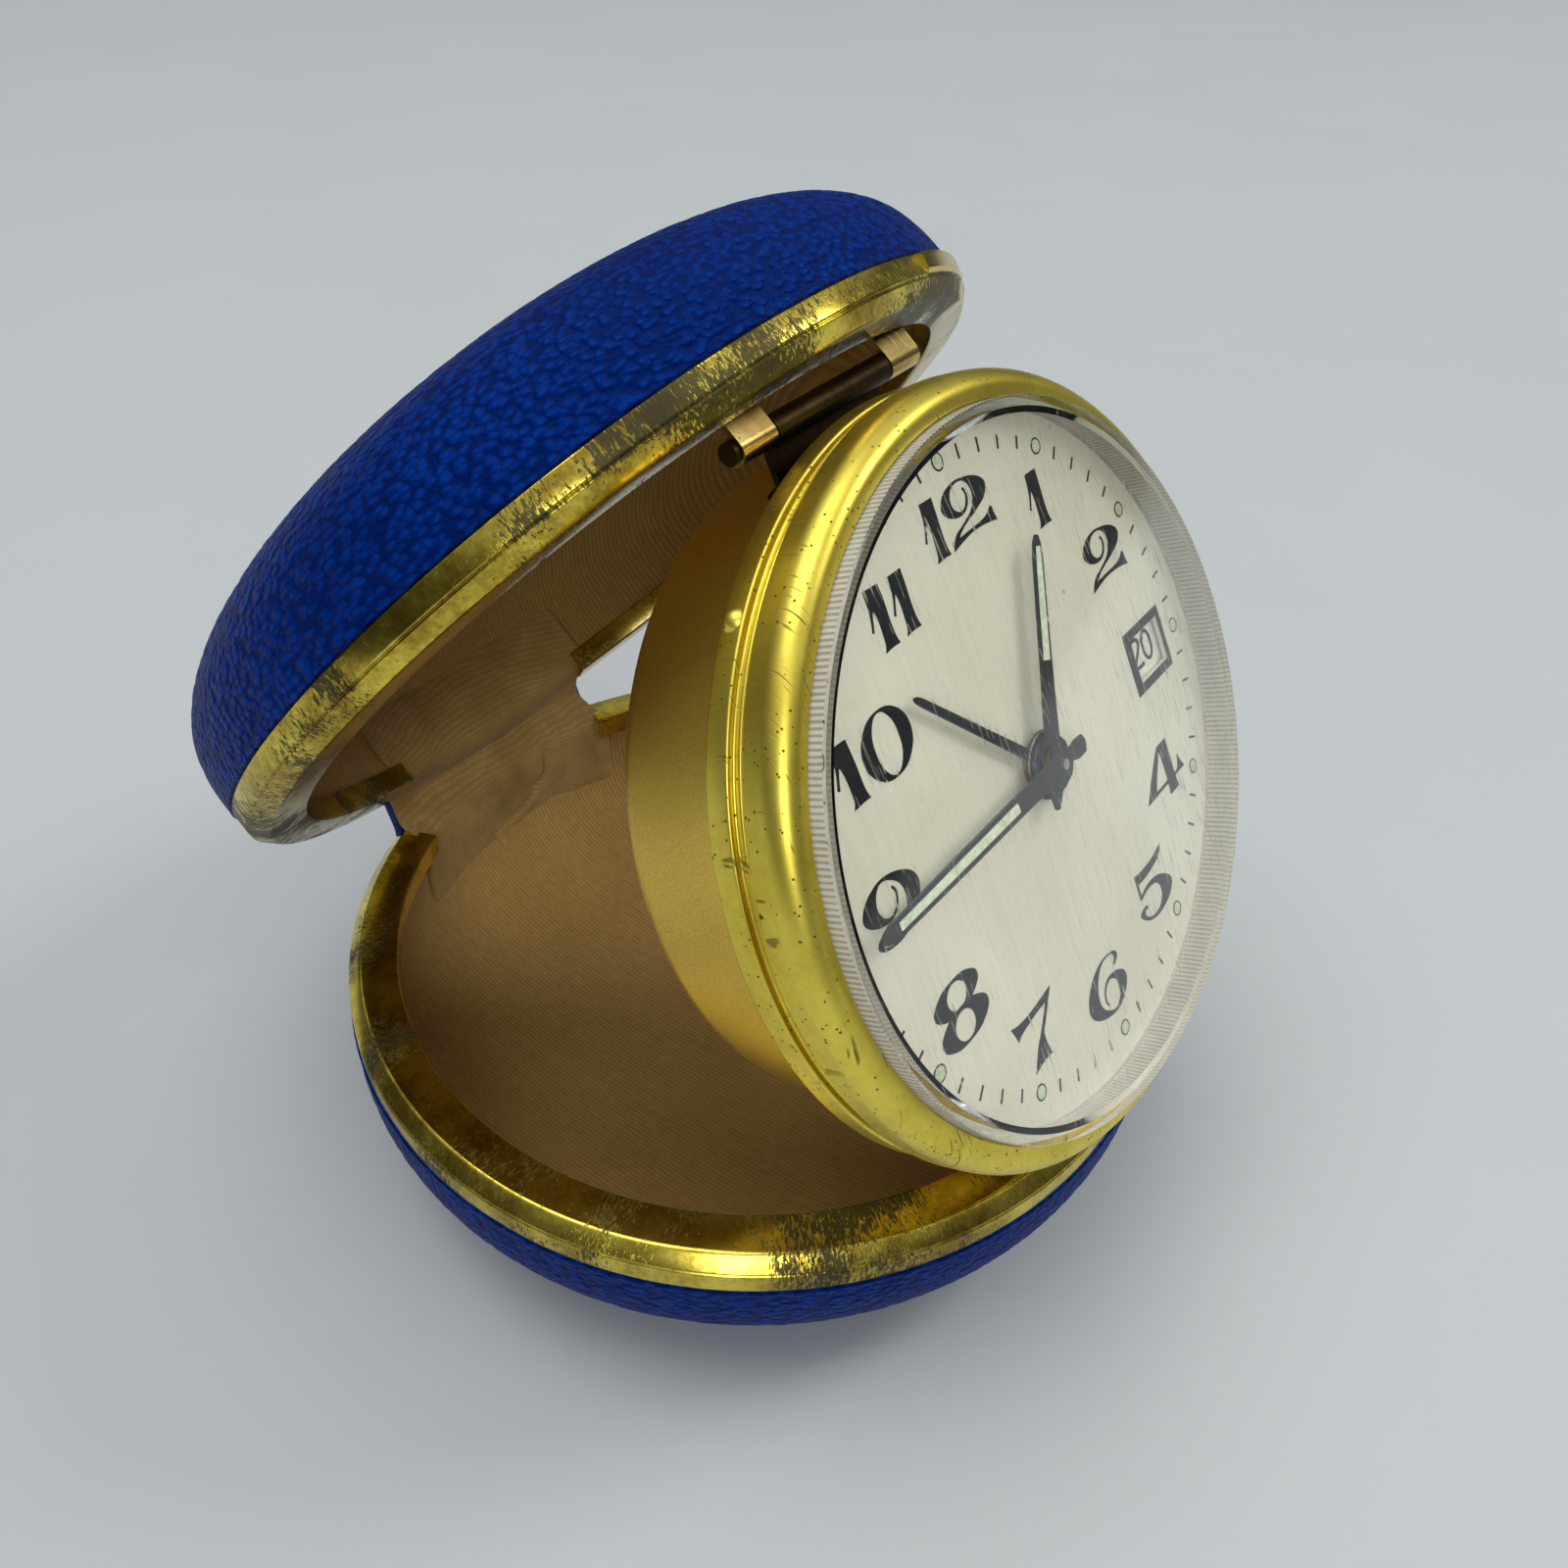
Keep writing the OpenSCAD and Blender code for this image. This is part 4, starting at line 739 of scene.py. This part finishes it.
def flange():
    """Band of the case with its step, the groove under the bezel and two pressed detents"""
    corner_r, groove, overlap, neck = 0.22 * mm, 0.72 * mm, 0.5 * mm, 1.3 * mm
    mid = -FLANGE_BACK + FLANGE_BAND
    top = mid + FLANGE_STEP
    step_r = FLANGE_R - FLANGE_STEP
    seam_r = step_r - groove
    inner_r, upper_r = DRUM_R - overlap, DRUM_R + neck
    outline = [(inner_r, -FLANGE_BACK), (FLANGE_R, -FLANGE_BACK), (FLANGE_R, mid), (step_r, mid),
               (step_r, top), (seam_r, top), (seam_r, top + SEAM_W), (upper_r, top + SEAM_W),
               (upper_r, -DIAL_T), (inner_r, -DIAL_T)]
    ring = lathe("flange_ring", eased(outline, corner_r), SPIN_STEPS, HEAD, BEZEL_BRASS)
    swell = 0.55 * DETENT_R
    bumps = [ring]
    slopes = [math.pi / 12 * (i - 6) for i in range(13)]
    bow = [(DETENT_R * math.cos(slope), DETENT_R * math.sin(slope)) for slope in slopes]
    for turn in (math.pi / 2 - DETENT_ANGLE, math.pi / 2 + DETENT_ANGLE):
        place = Matrix.Rotation(turn, 4, "Z") @ Matrix.Translation((FLANGE_R - swell, 0, mid - DETENT_R))
        bumps.append(lathe("detent", bow, 32, HEAD @ place, BEZEL_BRASS, closed=False))
    return joined("flange_ring", bumps)


def bezel():
    """Rounded ring that holds the crystal"""
    gap, foot_in, foot_up, lip_w, lip_drop = 0.05 * mm, 0.35 * mm, 0.4 * mm, 0.12 * mm, 0.2 * mm
    base_z = -FLANGE_BACK + FLANGE_BAND + FLANGE_STEP + SEAM_W + gap
    top_r = CRYSTAL_R + 0.35 * (BEZEL_R - CRYSTAL_R)
    bow = BEZEL_R - top_r
    inner = CRYSTAL_R + gap
    side = [(BEZEL_R - foot_in, base_z), (BEZEL_R, base_z + foot_up)]
    arc = [(top_r + bow * math.cos(a), BEZEL_H * (0.1 + 0.9 * math.sin(a)))
           for a in (math.pi / 2 * i / 14 for i in range(15))]
    outline = side + arc + [(inner + lip_w, BEZEL_H), (inner, BEZEL_H - lip_drop), (inner, base_z)]
    return lathe("bezel_ring", outline, SPIN_STEPS, HEAD, BEZEL_BRASS)


REED_DEPTH = 0.09 * mm


def radius_of(point):
    """Distance from the head's axis"""
    return math.hypot(point.x, point.y)


def crystal():
    """Domed crystal with a reeded side wall"""
    shoulder = 0.5 * mm
    rise = CRYSTAL_TOP - CRYSTAL_WALL - shoulder * 0.6
    inner_r = CRYSTAL_R - CRYSTAL_T

    def bow(reach, x):
        return CRYSTAL_WALL + shoulder * 0.6 + rise * (1 - (x / reach) ** 2)

    def across(reach, shares, drop=0.0):
        return [(reach * share, bow(reach, reach * share) - drop) for share in shares]

    steps = [i / 12 for i in range(13)]
    outer_top = across(CRYSTAL_R - shoulder, [1 - share for share in steps])
    inner_top = across(inner_r - shoulder, steps, CRYSTAL_T)
    foot = 0.05 * mm
    wall = [(inner_r, CRYSTAL_WALL - shoulder / 2), (inner_r, foot), (CRYSTAL_R - 0.02 * mm, foot),
            (CRYSTAL_R, 0.3 * mm), (CRYSTAL_R, CRYSTAL_WALL),
            (CRYSTAL_R - 0.15 * mm, CRYSTAL_WALL + 0.2 * mm)]
    piece = lathe("clear_crystal", outer_top + inner_top + wall, 2 * REEDS, Matrix.Identity(4), CRYSTAL,
                  angle=40)
    reeded = []
    for vertex in piece.data.vertices:
        p = vertex.co
        radius = radius_of(p)
        share = 1.0
        if radius > CRYSTAL_R - 0.01 * mm and p.z > 0.2 * mm:
            share -= REED_DEPTH * (0.5 - 0.5 * math.cos(REEDS * math.atan2(p.y, p.x))) / radius
        reeded += [p.x * share, p.y * share, p.z]
    reshape(piece, reeded)
    walls = [radius_of(face.center) > CRYSTAL_R - 2 * REED_DEPTH and abs(face.normal.z) < 0.3
             for face in piece.data.polygons]
    finish_piece(piece, "clear_crystal", HEAD, CRYSTAL, 40)
    piece.data.materials.append(REEDED)
    piece.data.polygons.foreach_set("material_index", [int(wall) for wall in walls])
    return piece


dress(flange(), "head", "bezel_brass", "case_flange")
dress(bezel(), "head", "bezel_brass", "bezel")
dress(crystal(), "head", "crystal", "crystal")

NODE_MATERIALS = [
    (DIAL, "dial"),
    (HAND, "minute_hand", "hour_hand", "alarm_hand"),
    (HINGE_BRASS, "hinge_bracket"),
    # The hinge pin and leaf take the very dark brass, painted shade between the hinge arms.
    (PAINTED_SHADE_BRASS, "hinge_pin", "hinge_leaf"),
    (SHELL_STEEL, "base_shell", "lid_shell"),
    (TAB_BRASS, "opening_tab"),
    (DRUM_GOLD, "case_drum"),
    (DATE_PAINT, "date_ring"),
    (STEEL, "case_screws", "set_knob", "alarm_knob", "time_key", "alarm_key", "time_arbor", "alarm_arbor",
     "centre_arbor", "escape_wheel", "pallet_lever", "regulator", "hammer", "alarm_stop"),
    (BLUED, "time_mainspring", "alarm_mainspring", "hairspring"),
    (TRAIN_BRASS, "front_plate", "back_plate", "pillars", "centre_wheel", "minute_wheel", "hour_wheel",
     "alarm_wheel", "alarm_setter", "time_barrel", "third_wheel", "fourth_wheel", "balance_wheel",
     "alarm_barrel", "alarm_escape_wheel"),
]
for material, *nodes in NODE_MATERIALS:
    for node in nodes:
        set_material(node, material)


# Print on the dial

INK_T = 0.035 * mm
MARK_R = 24.2 * mm
HOURS = 12

# Outlines about a numeral's middle, in hundredths of a millimetre; a third number marks a corner
NUMERALS = {
    "2": [
        [(-300, -219, 1), (-267, -165), (-214, -119), (-136, -94), (-43, -64), (24, -36), (69, -2),
         (96, 41), (104, 88), (90, 141), (57, 181), (0, 204), (-64, 206), (-121, 188), (-157, 149),
         (-169, 102), (-157, 55), (-124, 21), (-79, 5), (-33, 12), (3, 45), (20, 81), (20, 115),
         (4, 142), (17, 151), (36, 124), (44, 84), (33, 42), (0, 4), (-43, -18), (-100, -25),
         (-179, -12), (-250, 24), (-287, 64), (-296, 98), (-271, 149), (-214, 195), (-136, 219),
         (-50, 228), (50, 216), (150, 192), (236, 152), (283, 109), (294, 78), (279, 41), (229, -5),
         (150, -36), (50, -66), (-43, -88), (-121, -114), (-176, -142), (-190, -155, 1), (-136, -152),
         (-21, -148), (107, -145), (193, -131), (239, -108), (264, -88, 1), (280, -99), (287, -148),
         (310, -219, 1), (264, -206), (179, -191), (64, -179), (-50, -179), (-164, -194), (-243, -208)]],
    "4": [
        [(7, 232, 1), (-179, 66), (-293, -55), (-350, -114, 1), (-350, -125, 1), (33, -125, 1),
         (33, -96, 1), (-176, -96, 1), (-157, -56), (24, 186, 1), (33, 195, 1), (33, 232, 1)],
        [(24, 234, 1), (179, 234, 1), (174, 95), (174, -148), (186, -229, 1), (21, -229, 1), (33, -148),
         (33, 95)],
        [(164, -98, 1), (224, -95), (261, -45), (289, 19, 1), (311, -51), (346, -114, 1), (346, -125, 1),
         (164, -125, 1)]],
    "5": [
        [(-229, 221, 1), (-150, 209), (-21, 202), (93, 206), (179, 221), (236, 234), (270, 244, 1),
         (250, 202), (200, 166), (107, 141), (7, 128), (-93, 124), (-200, 131, 1), (-203, 81),
         (-203, 26, 1), (-150, 45), (-64, 58), (21, 55), (121, 31), (221, -24), (276, -74), (293, -112),
         (279, -151), (221, -201), (136, -234), (36, -252), (-64, -252), (-164, -229), (-239, -186),
         (-283, -144), (-296, -119), (-283, -98), (-236, -82), (-179, -81), (-147, -102, 1),
         (-179, -111), (-214, -112), (-224, -134), (-200, -174), (-136, -208), (-50, -219), (19, -205),
         (71, -165), (100, -112), (94, -55), (64, -15), (7, 11), (-57, 19), (-136, 14), (-200, -1, 1),
         (-233, -2, 1)]],
    "6": [
        [(171, 98, 1), (214, 99), (260, 135), (266, 159), (243, 189), (179, 214), (93, 226), (29, 226),
         (-57, 208), (-150, 169), (-236, 102), (-286, 35), (-304, -26), (-286, -91), (-229, -148),
         (-136, -198), (-36, -229), (43, -238), (136, -226), (221, -184), (279, -126), (300, -76),
         (286, -26), (236, 16), (157, 48), (79, 59), (14, 45), (-36, 2), (-64, -55), (-67, -102),
         (-44, -142, 1), (-31, -134), (-47, -94), (-43, -51), (-14, -5), (29, 24), (79, 31), (121, 9),
         (153, -34), (161, -84), (143, -148), (100, -198), (57, -215), (7, -208), (-50, -176),
         (-100, -134), (-133, -76), (-136, -5), (-114, 66), (-71, 131), (-14, 181), (50, 208),
         (107, 211), (179, 195), (214, 166), (207, 138)]],
    "7": [
        [(-296, 241, 1), (-243, 221), (-164, 206), (-64, 199), (50, 202), (164, 209), (287, 218, 1),
         (193, 121), (93, 15), (50, -24), (41, -76), (44, -162), (61, -228, 1), (-7, -219), (-64, -218),
         (-136, -225), (-199, -239, 1), (-164, -191), (-114, -131), (-57, -66), (-7, -28), (33, 9),
         (107, 81), (173, 146, 1), (50, 149), (-93, 138), (-193, 126), (-229, 116), (-257, 99, 1),
         (-267, 145)]],
    "1": [
        [(-96, 226, 1), (57, 226, 1), (56, 109), (54, -119), (64, -176), (79, -215, 1), (-7, -209),
         (-99, -215, 1), (-76, -176), (-67, -119), (-69, 66), (-79, 92, 1), (-114, 21), (-141, -46, 1),
         (-160, -36, 1), (-136, 16), (-110, 95), (-101, 166)]],
}


def oval(x, y, half_w, half_h):
    """Eight points of an oval outline"""
    turns = [math.pi / 4 * i for i in range(8)]
    return [(x + half_w * math.cos(turn), y + half_h * math.sin(turn)) for turn in turns]


def corners(*points):
    """A straight-sided outline in hundredths of a millimetre"""
    return [(x, y, 1) for x, y in points]


def oblong(x, y, half_w, half_h):
    """A rectangle's outline"""
    left, right, low, high = x - half_w, x + half_w, y - half_h, y + half_h
    return corners((left, low), (right, low), (right, high), (left, high))


def flat_shape(name, outlines, low, high, place, material):
    """Fill closed outlines between two levels; an outline within another leaves an opening"""
    bpy.ops.curve.primitive_bezier_circle_add()
    piece = bpy.context.object
    curve = piece.data
    curve.splines.clear()
    curve.dimensions = "2D"
    curve.fill_mode = "BOTH"
    curve.resolution_u = 4
    curve.extrude = (high - low) / 2 / mm
    for outline in outlines:
        spline = curve.splines.new("BEZIER")
        spline.use_cyclic_u = True
        spline.bezier_points.add(len(outline) - 1)
        for point, (x, y, *corner) in zip(spline.bezier_points, outline):
            point.co = (x / 100, y / 100, 0)
            point.handle_left_type = point.handle_right_type = "VECTOR" if corner else "AUTO"
    bpy.ops.object.convert(target="MESH")
    bpy.ops.object.mode_set(mode="EDIT")
    on_all(bpy.ops.mesh.remove_doubles, threshold=0.002)
    bpy.ops.mesh.normals_make_consistent(inside=False)
    bpy.ops.object.mode_set(mode="OBJECT")
    level = Matrix.Translation((0, 0, (low + high) / 2)) @ Matrix.Scale(mm, 4)
    return finish_piece(bpy.context.object, name, place @ level, material)


def round_the_dial(piece, turns):
    """Copy a piece of the dial round its axis, by one turn after another, and put it on the head"""
    pick(piece)
    bpy.ops.object.mode_set(mode="EDIT")
    bpy.ops.mesh.select_all(action="SELECT")
    for turn in turns:
        bpy.ops.mesh.duplicate()
        bpy.ops.transform.rotate(value=turn, orient_axis="Z", center_override=(0, 0, 0))
    bpy.ops.object.mode_set(mode="OBJECT")
    return finish_piece(piece, piece.name, HEAD, piece.data.materials[0])


def numerals():
    """The hours but three, whose place the date takes"""
    eight = [[oval(0, 126, 283, 121), oval(3, 124, 116, 100)],
             [oval(-3, -102, 304, 136), oval(-11, -109, 120, 109)]]
    nought = [[oval(0, 0, 279, 244), oval(0, 0, 136, 226)]]
    shapes = {digit: [[outline] for outline in outlines] for digit, outlines in NUMERALS.items()}
    shapes.update({"8": eight, "0": nought})
    places = [("1", -2.65, 20.2, 0), ("2", 1.53, 20.2, 0), ("1", 10.5, 17.3, 0), ("2", 16.95, 9.85, 0),
              ("4", 16.1, -9.95, 0), ("5", 9.7, -17.1, 0), ("6", -0.65, -19.95, 0), ("7", -10.0, -17.1, 0),
              ("8", -17.0, -9.95, 0), ("6", -19.5, 0.3, math.pi), ("1", -18.76, 9.95, 0),
              ("0", -14.76, 10.0, 0), ("1", -10.9, 17.35, 0), ("1", -8.25, 17.35, 0)]
    pieces = []
    for digit, x, y, turn in places:
        place = HEAD @ Matrix.Translation((x * mm, y * mm, 0)) @ Matrix.Rotation(turn, 4, "Z")
        for outlines in shapes[digit]:
            pieces.append(flat_shape("numeral", outlines, -INK_T / 2, INK_T, place, INK))
    return joined("numerals", pieces)


def hour_marks():
    """A pale dot in a black ring at each hour, and four ticks between two hours"""
    out = Matrix.Translation((MARK_R, 0, 0))
    hour = 2 * math.pi / HOURS
    ring = [(0.52 * mm, -INK_T / 2), (0.65 * mm, -INK_T / 2), (0.65 * mm, INK_T), (0.52 * mm, INK_T)]
    dot = [(0, 0), (0.53 * mm, 0), (0.53 * mm, 0.03 * mm), (0.36 * mm, 0.07 * mm), (0, 0.09 * mm)]
    rings = round_the_dial(lathe("hour_rings", ring, 32, out, INK), [hour] * (HOURS - 1))
    dots = round_the_dial(lathe("hour_dots", dot, 32, out, DOT_PAINT, closed=False), [hour] * (HOURS - 1))
    tick = flat_shape("minute_ticks", [oblong(0, 0, 50, 10)], -INK_T / 2, INK_T,
                      Matrix.Rotation(-hour / 5, 4, "Z") @ out, INK)
    turns = ([hour / 5] * 3 + [2 * hour / 5]) * HOURS
    return rings, dots, round_the_dial(tick, turns[:-1])


def date_print():
    """The frame round the date window, and the date under it"""
    window = flat_shape("date_frame", [oblong(1922, 0, 323, 280), oblong(1945, 0, 245, 200)],
                        -INK_T / 2, INK_T, HEAD, INK)
    two = [(-86, 62, 1), (-82, 98), (-46, 131), (2, 140), (56, 129), (90, 90), (86, 46), (48, -4), (-6, -58),
           (-38, -106, 1), (90, -106, 1), (90, -140, 1), (-92, -140, 1), (-90, -112, 1), (-34, -44), (18, 12),
           (48, 50), (52, 82), (34, 100), (2, 106), (-34, 97), (-52, 62, 1)]
    digits = []
    for x, outlines in ((18.3, [two]), (20.3, [oval(0, 0, 88, 140), oval(0, 0, 54, 106)])):
        place = HEAD @ Matrix.Translation((x * mm, 0.13 * mm, DATE_TOP))
        digits.append(flat_shape("date_digit", outlines, -INK_T / 2, INK_T, place, INK))
    return window, joined("date_digits", digits)


dress(numerals(), "head", "dial_paint")
for mark in hour_marks():
    dress(mark, "head", "dial_paint")
date_frame, date_digits = date_print()
dress(date_frame, "head", "dial_paint")
dress(date_digits, "date", "date_paint")


# Pale fillings of the two hands

def filling(name, hand, shares, material, proud):
    """A slot of a hand, given as shares of its length and of half its width, filled with paint"""
    length, width, level, angle = hand
    side = [(100 * length / mm * a, 100 * width / mm / 2 * b) for a, b in shares]
    outline = corners(*side, *[(x, -y) for x, y in side[::-1]])
    place = HEAD @ Matrix.Rotation(angle, 4, "Z")
    return flat_shape(name, [outline], level + 0.04 * mm, level + HAND_T + proud, place, material)


MINUTE_SLOT = [(0.268, 0.44), (0.62, 0.41), (0.922, 0.36)]
HOUR_SLOT = [(0.328, 0.42), (0.6, 0.37), (0.872, 0.3)]
HOUR_PAINT = [(0.455, 0.43), (0.7, 0.4), (0.9, 0.33), (0.95, 0.24)]

minute_filling = filling("minute_filling", MINUTE_HAND, MINUTE_SLOT, LUME, -0.02 * mm)
hour_backing = filling("hour_backing", HOUR_HAND, HOUR_SLOT, HAND, -0.01 * mm)
hour_filling = filling("hour_filling", HOUR_HAND, HOUR_PAINT, LUME, 0.03 * mm)
dress(minute_filling, "centre_train", "dial_paint")
dress(hour_backing, "hour_pipe", "hand_black")
dress(hour_filling, "hour_pipe", "dial_paint")


# Bright edges of the pipes at the dial's centre

def pipe_edge(name, radius, level, height, body):
    """A thin steel ring round a hub"""
    inner, top = radius - 0.16 * mm, level + height
    ring = [(inner, level), (radius, level), (radius, top), (inner, top)]
    dress(lathe(name, eased(ring, 0.03 * mm), 96, HEAD, STEEL), body, "bright_steel")


pipe_edge("alarm_pipe_edge", 2.62 * mm, 0.9 * mm, 0.07 * mm, "alarm_pipe")
pipe_edge("hour_pipe_edge", 1.98 * mm, 0.92 * mm, 0.36 * mm, "hour_pipe")


# Strap across the fold

STRAP_CURVE = 34 * mm
# Lines from each half to the fold, as (y, depth, share of the curve) in that half, in millimetres
LOWER_STRAP = [(34.3, 10.6, 1), (33.75, 8.4, 1), (33.7, 6, 1), (33.7, 4, 1), (33.8, 2.2, 1), (34.2, 0.8, 1),
               (35.2, 0, 0.85), (36.3, -0.75, 0.55), (36.8, -1.5, 0.4)]
UPPER_STRAP = [(34.3, 10.6, 1), (33.75, 8.4, 1), (33.7, 6, 1), (33.7, 4, 1), (33.8, 2.3, 1), (34.2, 1, 1),
               (35.1, 0.35, 0.85), (36.3, 0.15, 0.55)]
CREASE = (-2 * mm, -3 * mm, 7.6 * mm)
COVER_W = 27 * mm
LOWER_COVER = [(37.4, 5.4, 1), (37.55, 4, 1), (37.5, 3, 1), (37.4, 1.8, 1), (37.4, 0.6, 1),
               (37.45, -0.3, 0.9), (37.5, -0.95, 0.8)]
UPPER_COVER = [(37.4, 5.4, 1), (37.55, 4, 1), (37.5, 3, 1), (37.45, 2, 1), (37.55, 1, 0.9)]


def between(points, t):
    """A point on the smooth curve through the points, at a place counted in points"""
    i = min(int(t), len(points) - 2)
    t -= i
    before, start, end, after = (points[min(max(i + k, 0), len(points) - 1)] for k in (-1, 0, 1, 2))
    return 0.5 * (2 * start + (end - before) * t + (2 * before - 5 * start + 4 * end - after) * t ** 2
                  + (3 * start - before - 3 * end + after) * t ** 3)


def strap_path(lower, upper, rows):
    """Even steps along a sheet over the fold: (y, z, fall y, fall z) and the distance from the fold"""
    marks = []
    for half, side in ((BASE, lower), (LID, upper[::-1])):
        for y, depth, share in side:
            place = half @ Vector((0, y * mm, depth * mm)) / mm
            fall = half.to_3x3() @ Vector((0, -share, 0))
            marks.append(Vector((place.y, place.z, fall.y, fall.z)))
    spans, parts = len(marks) - 1, 600
    steps, run = even_steps([between(marks, spans * i / parts) for i in range(parts + 1)], rows - 1)
    fold = run[round(parts * (len(lower) - 1) / spans)]
    return [(point, distance - fold) for point, distance in steps]


def hump(value, middle, width, power=2):
    """1 in the middle, and smoothly less away from it"""
    return math.exp(-((value - middle) / width) ** power)


def strap_swell(x, run):
    """How far the cloth stands proud of its path, in metres, and sinks in at its crease"""
    x, run = x / mm, run / mm
    pillow = 0.75 * hump(x, 0, 8.5) * hump(run, -3, 5.5)
    wave = (0.22 * noise.noise(Vector((x / 5.5, run / 4.5, 3.1)))
            + 0.08 * noise.noise(Vector((x / 1.9, run / 1.9, 7.7))))
    away_x, away_run = x - CREASE[0] / mm, run - CREASE[1] / mm
    turn = math.degrees(math.atan2(away_run, away_x))
    along = hump(turn, -48, 42, 4)
    gap = math.hypot(away_x, away_run) - CREASE[2] / mm
    fold_in = 0.85 * hump(gap, 0, 0.42) * along
    lip = 0.3 * hump(gap, -1.3, 1.1) * along
    pinch = 0.9 * hump(x, 3.6, 1.1) * hump(run, -7.4, 0.8)
    return (pillow + wave + lip - fold_in - pinch) * mm


def cover_swell(x, run):
    """Soft unevenness of the leather that covers the fold outside, in metres"""
    return 0.1 * mm * noise.noise(Vector((x, run, 0)) / (3.5 * mm))


def over_the_fold(name, lower, upper, width, curve, swell, inside, outside):
    """One soft sheet from the lower half over the fold to the upper one, and its length"""
    rows, columns = 130, 110
    bpy.ops.mesh.primitive_grid_add(x_subdivisions=columns - 1, y_subdivisions=rows - 1, size=1)
    piece = bpy.context.object
    line = strap_path(lower, upper, rows)
    placed = []
    for vertex in piece.data.vertices:
        x = vertex.co.x * width
        k = min(max(round((vertex.co.y + 0.5) * (rows - 1)), 0), rows - 1)
        mark, run = line[k]
        ahead, behind = line[min(k + 1, rows - 1)][0], line[max(k - 1, 0)][0]
        way = Vector((ahead[0] - behind[0], ahead[1] - behind[1])).normalized()
        fall = (curve - math.sqrt(curve ** 2 - x ** 2)) / mm
        bulge = swell(x, run * mm) / mm
        y = mark[0] + mark[2] * fall - way.y * bulge
        z = mark[1] + mark[3] * fall + way.x * bulge
        placed += [x, y * mm, z * mm]
    reshape(piece, placed)
    finish_piece(piece, name, Matrix.Identity(4), inside, 60)
    piece.data.materials.append(outside)
    pick(piece)
    thicken = piece.modifiers.new("thickness", "SOLIDIFY")
    thicken.thickness = 0.7 * mm
    thicken.offset = -1
    thicken.material_offset = 1
    bpy.ops.object.modifier_apply(modifier="thickness")
    pick()
    return piece, line[-1][1] * mm - line[0][1] * mm


strap, strap_length = over_the_fold("fold_strap", LOWER_STRAP, UPPER_STRAP, STRAP_W, STRAP_CURVE, strap_swell,
                                    STRAP, STRAP_BACK)
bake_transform(strap)
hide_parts("strap_base", "strap_lid")

cover, cover_length = over_the_fold("fold_cover", LOWER_COVER, UPPER_COVER, COVER_W, RIM_R, cover_swell,
                                    STRAP_BACK, UPPER_LEATHER)
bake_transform(cover)


# Camera, floor and light

def camera():
    """The photograph's view, from a camera fit to the rims, the bezel and the dial"""
    bpy.ops.object.camera_add()
    piece = bpy.context.object
    right = Vector((0.59443, -0.80369, 0.02717))
    forward = Vector((0.66291, 0.47062, -0.58229))
    up = right.cross(forward)
    turn = Matrix((right, up, -forward)).transposed().to_4x4()
    piece.matrix_world = Matrix.Translation((-80.26 * mm, -59.52 * mm, 117.31 * mm)) @ turn
    piece.data.sensor_width = 36
    piece.data.lens = 33.21
    piece.data.shift_x = -0.0008
    piece.data.shift_y = -0.0702
    piece.data.clip_start = 1 * mm
    bpy.context.scene.camera = piece


def floor():
    """Pale floor with painted shade that darkens it far away"""
    bpy.ops.mesh.primitive_plane_add(size=8)
    piece = bpy.context.object
    bpy.ops.object.mode_set(mode="EDIT")
    bpy.ops.mesh.subdivide(number_cuts=4)
    bpy.ops.object.mode_set(mode="OBJECT")
    f = Finish("pale_floor", Specular_IOR_Level=0.3)
    mottle = f.noise(0.02, 3)
    pale = f.mix(srgb(190, 194, 195), srgb(195, 199, 200), mottle)
    distance = f.node("ShaderNodeVectorMath", {"operation": "LENGTH"}, "Value", Vector=f.place)
    # Darker far from the clock: painted shade standing for the light falling off.
    f.set(Base_Color=f.mix(pale, srgb(92, 96, 98), distance.above(0.6, 3)), Roughness=0.6)
    finish_piece(piece, "floor", Matrix.Identity(4), f.material)


def lamp(name, place, aim, size, power, colour=(1, 1, 1)):
    """A round soft lamp that points at its aim"""
    bpy.ops.object.light_add(type="AREA")
    piece = bpy.context.object
    piece.name = name
    piece.data.shape = "DISK"
    piece.data.size = size
    piece.data.energy = power
    piece.data.color = colour
    turn = (Vector(aim) - Vector(place)).to_track_quat("-Z", "Y").to_matrix().to_4x4()
    piece.matrix_world = Matrix.Translation(place) @ turn


def world():
    """Studio air: pale above and dim below"""
    scene_world = bpy.data.worlds.new("studio")
    bpy.context.scene.world = scene_world
    scene_world.use_nodes = True
    tree = scene_world.node_tree
    back = tree.nodes["Background"]
    place = tree.nodes.new("ShaderNodeTexCoord")
    split = tree.nodes.new("ShaderNodeSeparateXYZ")
    ramp = tree.nodes.new("ShaderNodeValToRGB")
    tree.links.new(place.outputs["Generated"], split.inputs[0])
    tree.links.new(split.outputs["Z"], ramp.inputs[0])
    ramp.color_ramp.elements[0].position = 0.0
    ramp.color_ramp.elements[0].color = (0.1, 0.105, 0.11, 1)
    low = ramp.color_ramp.elements.new(0.4)
    low.color = (0.2, 0.21, 0.22, 1)
    ramp.color_ramp.elements[-1].position = 0.8
    ramp.color_ramp.elements[-1].color = (0.95, 0.97, 1, 1)
    tree.links.new(ramp.outputs[0], back.inputs[0])
    back.inputs[1].default_value = 0.6


camera()
floor()
lamp("overhead", (-0.2, 0.25, 1.5), (0, 0, 0.03), 1.2, 9)
lamp("window", (-1.0, -0.8, 0.85), (0, 0, 0.04), 0.7, 6, (0.95, 0.98, 1))
lamp("side", (0.85, -0.75, 1.1), (0, 0, 0.04), 0.45, 6)
world()
bpy.context.scene.view_settings.view_transform = "Standard"
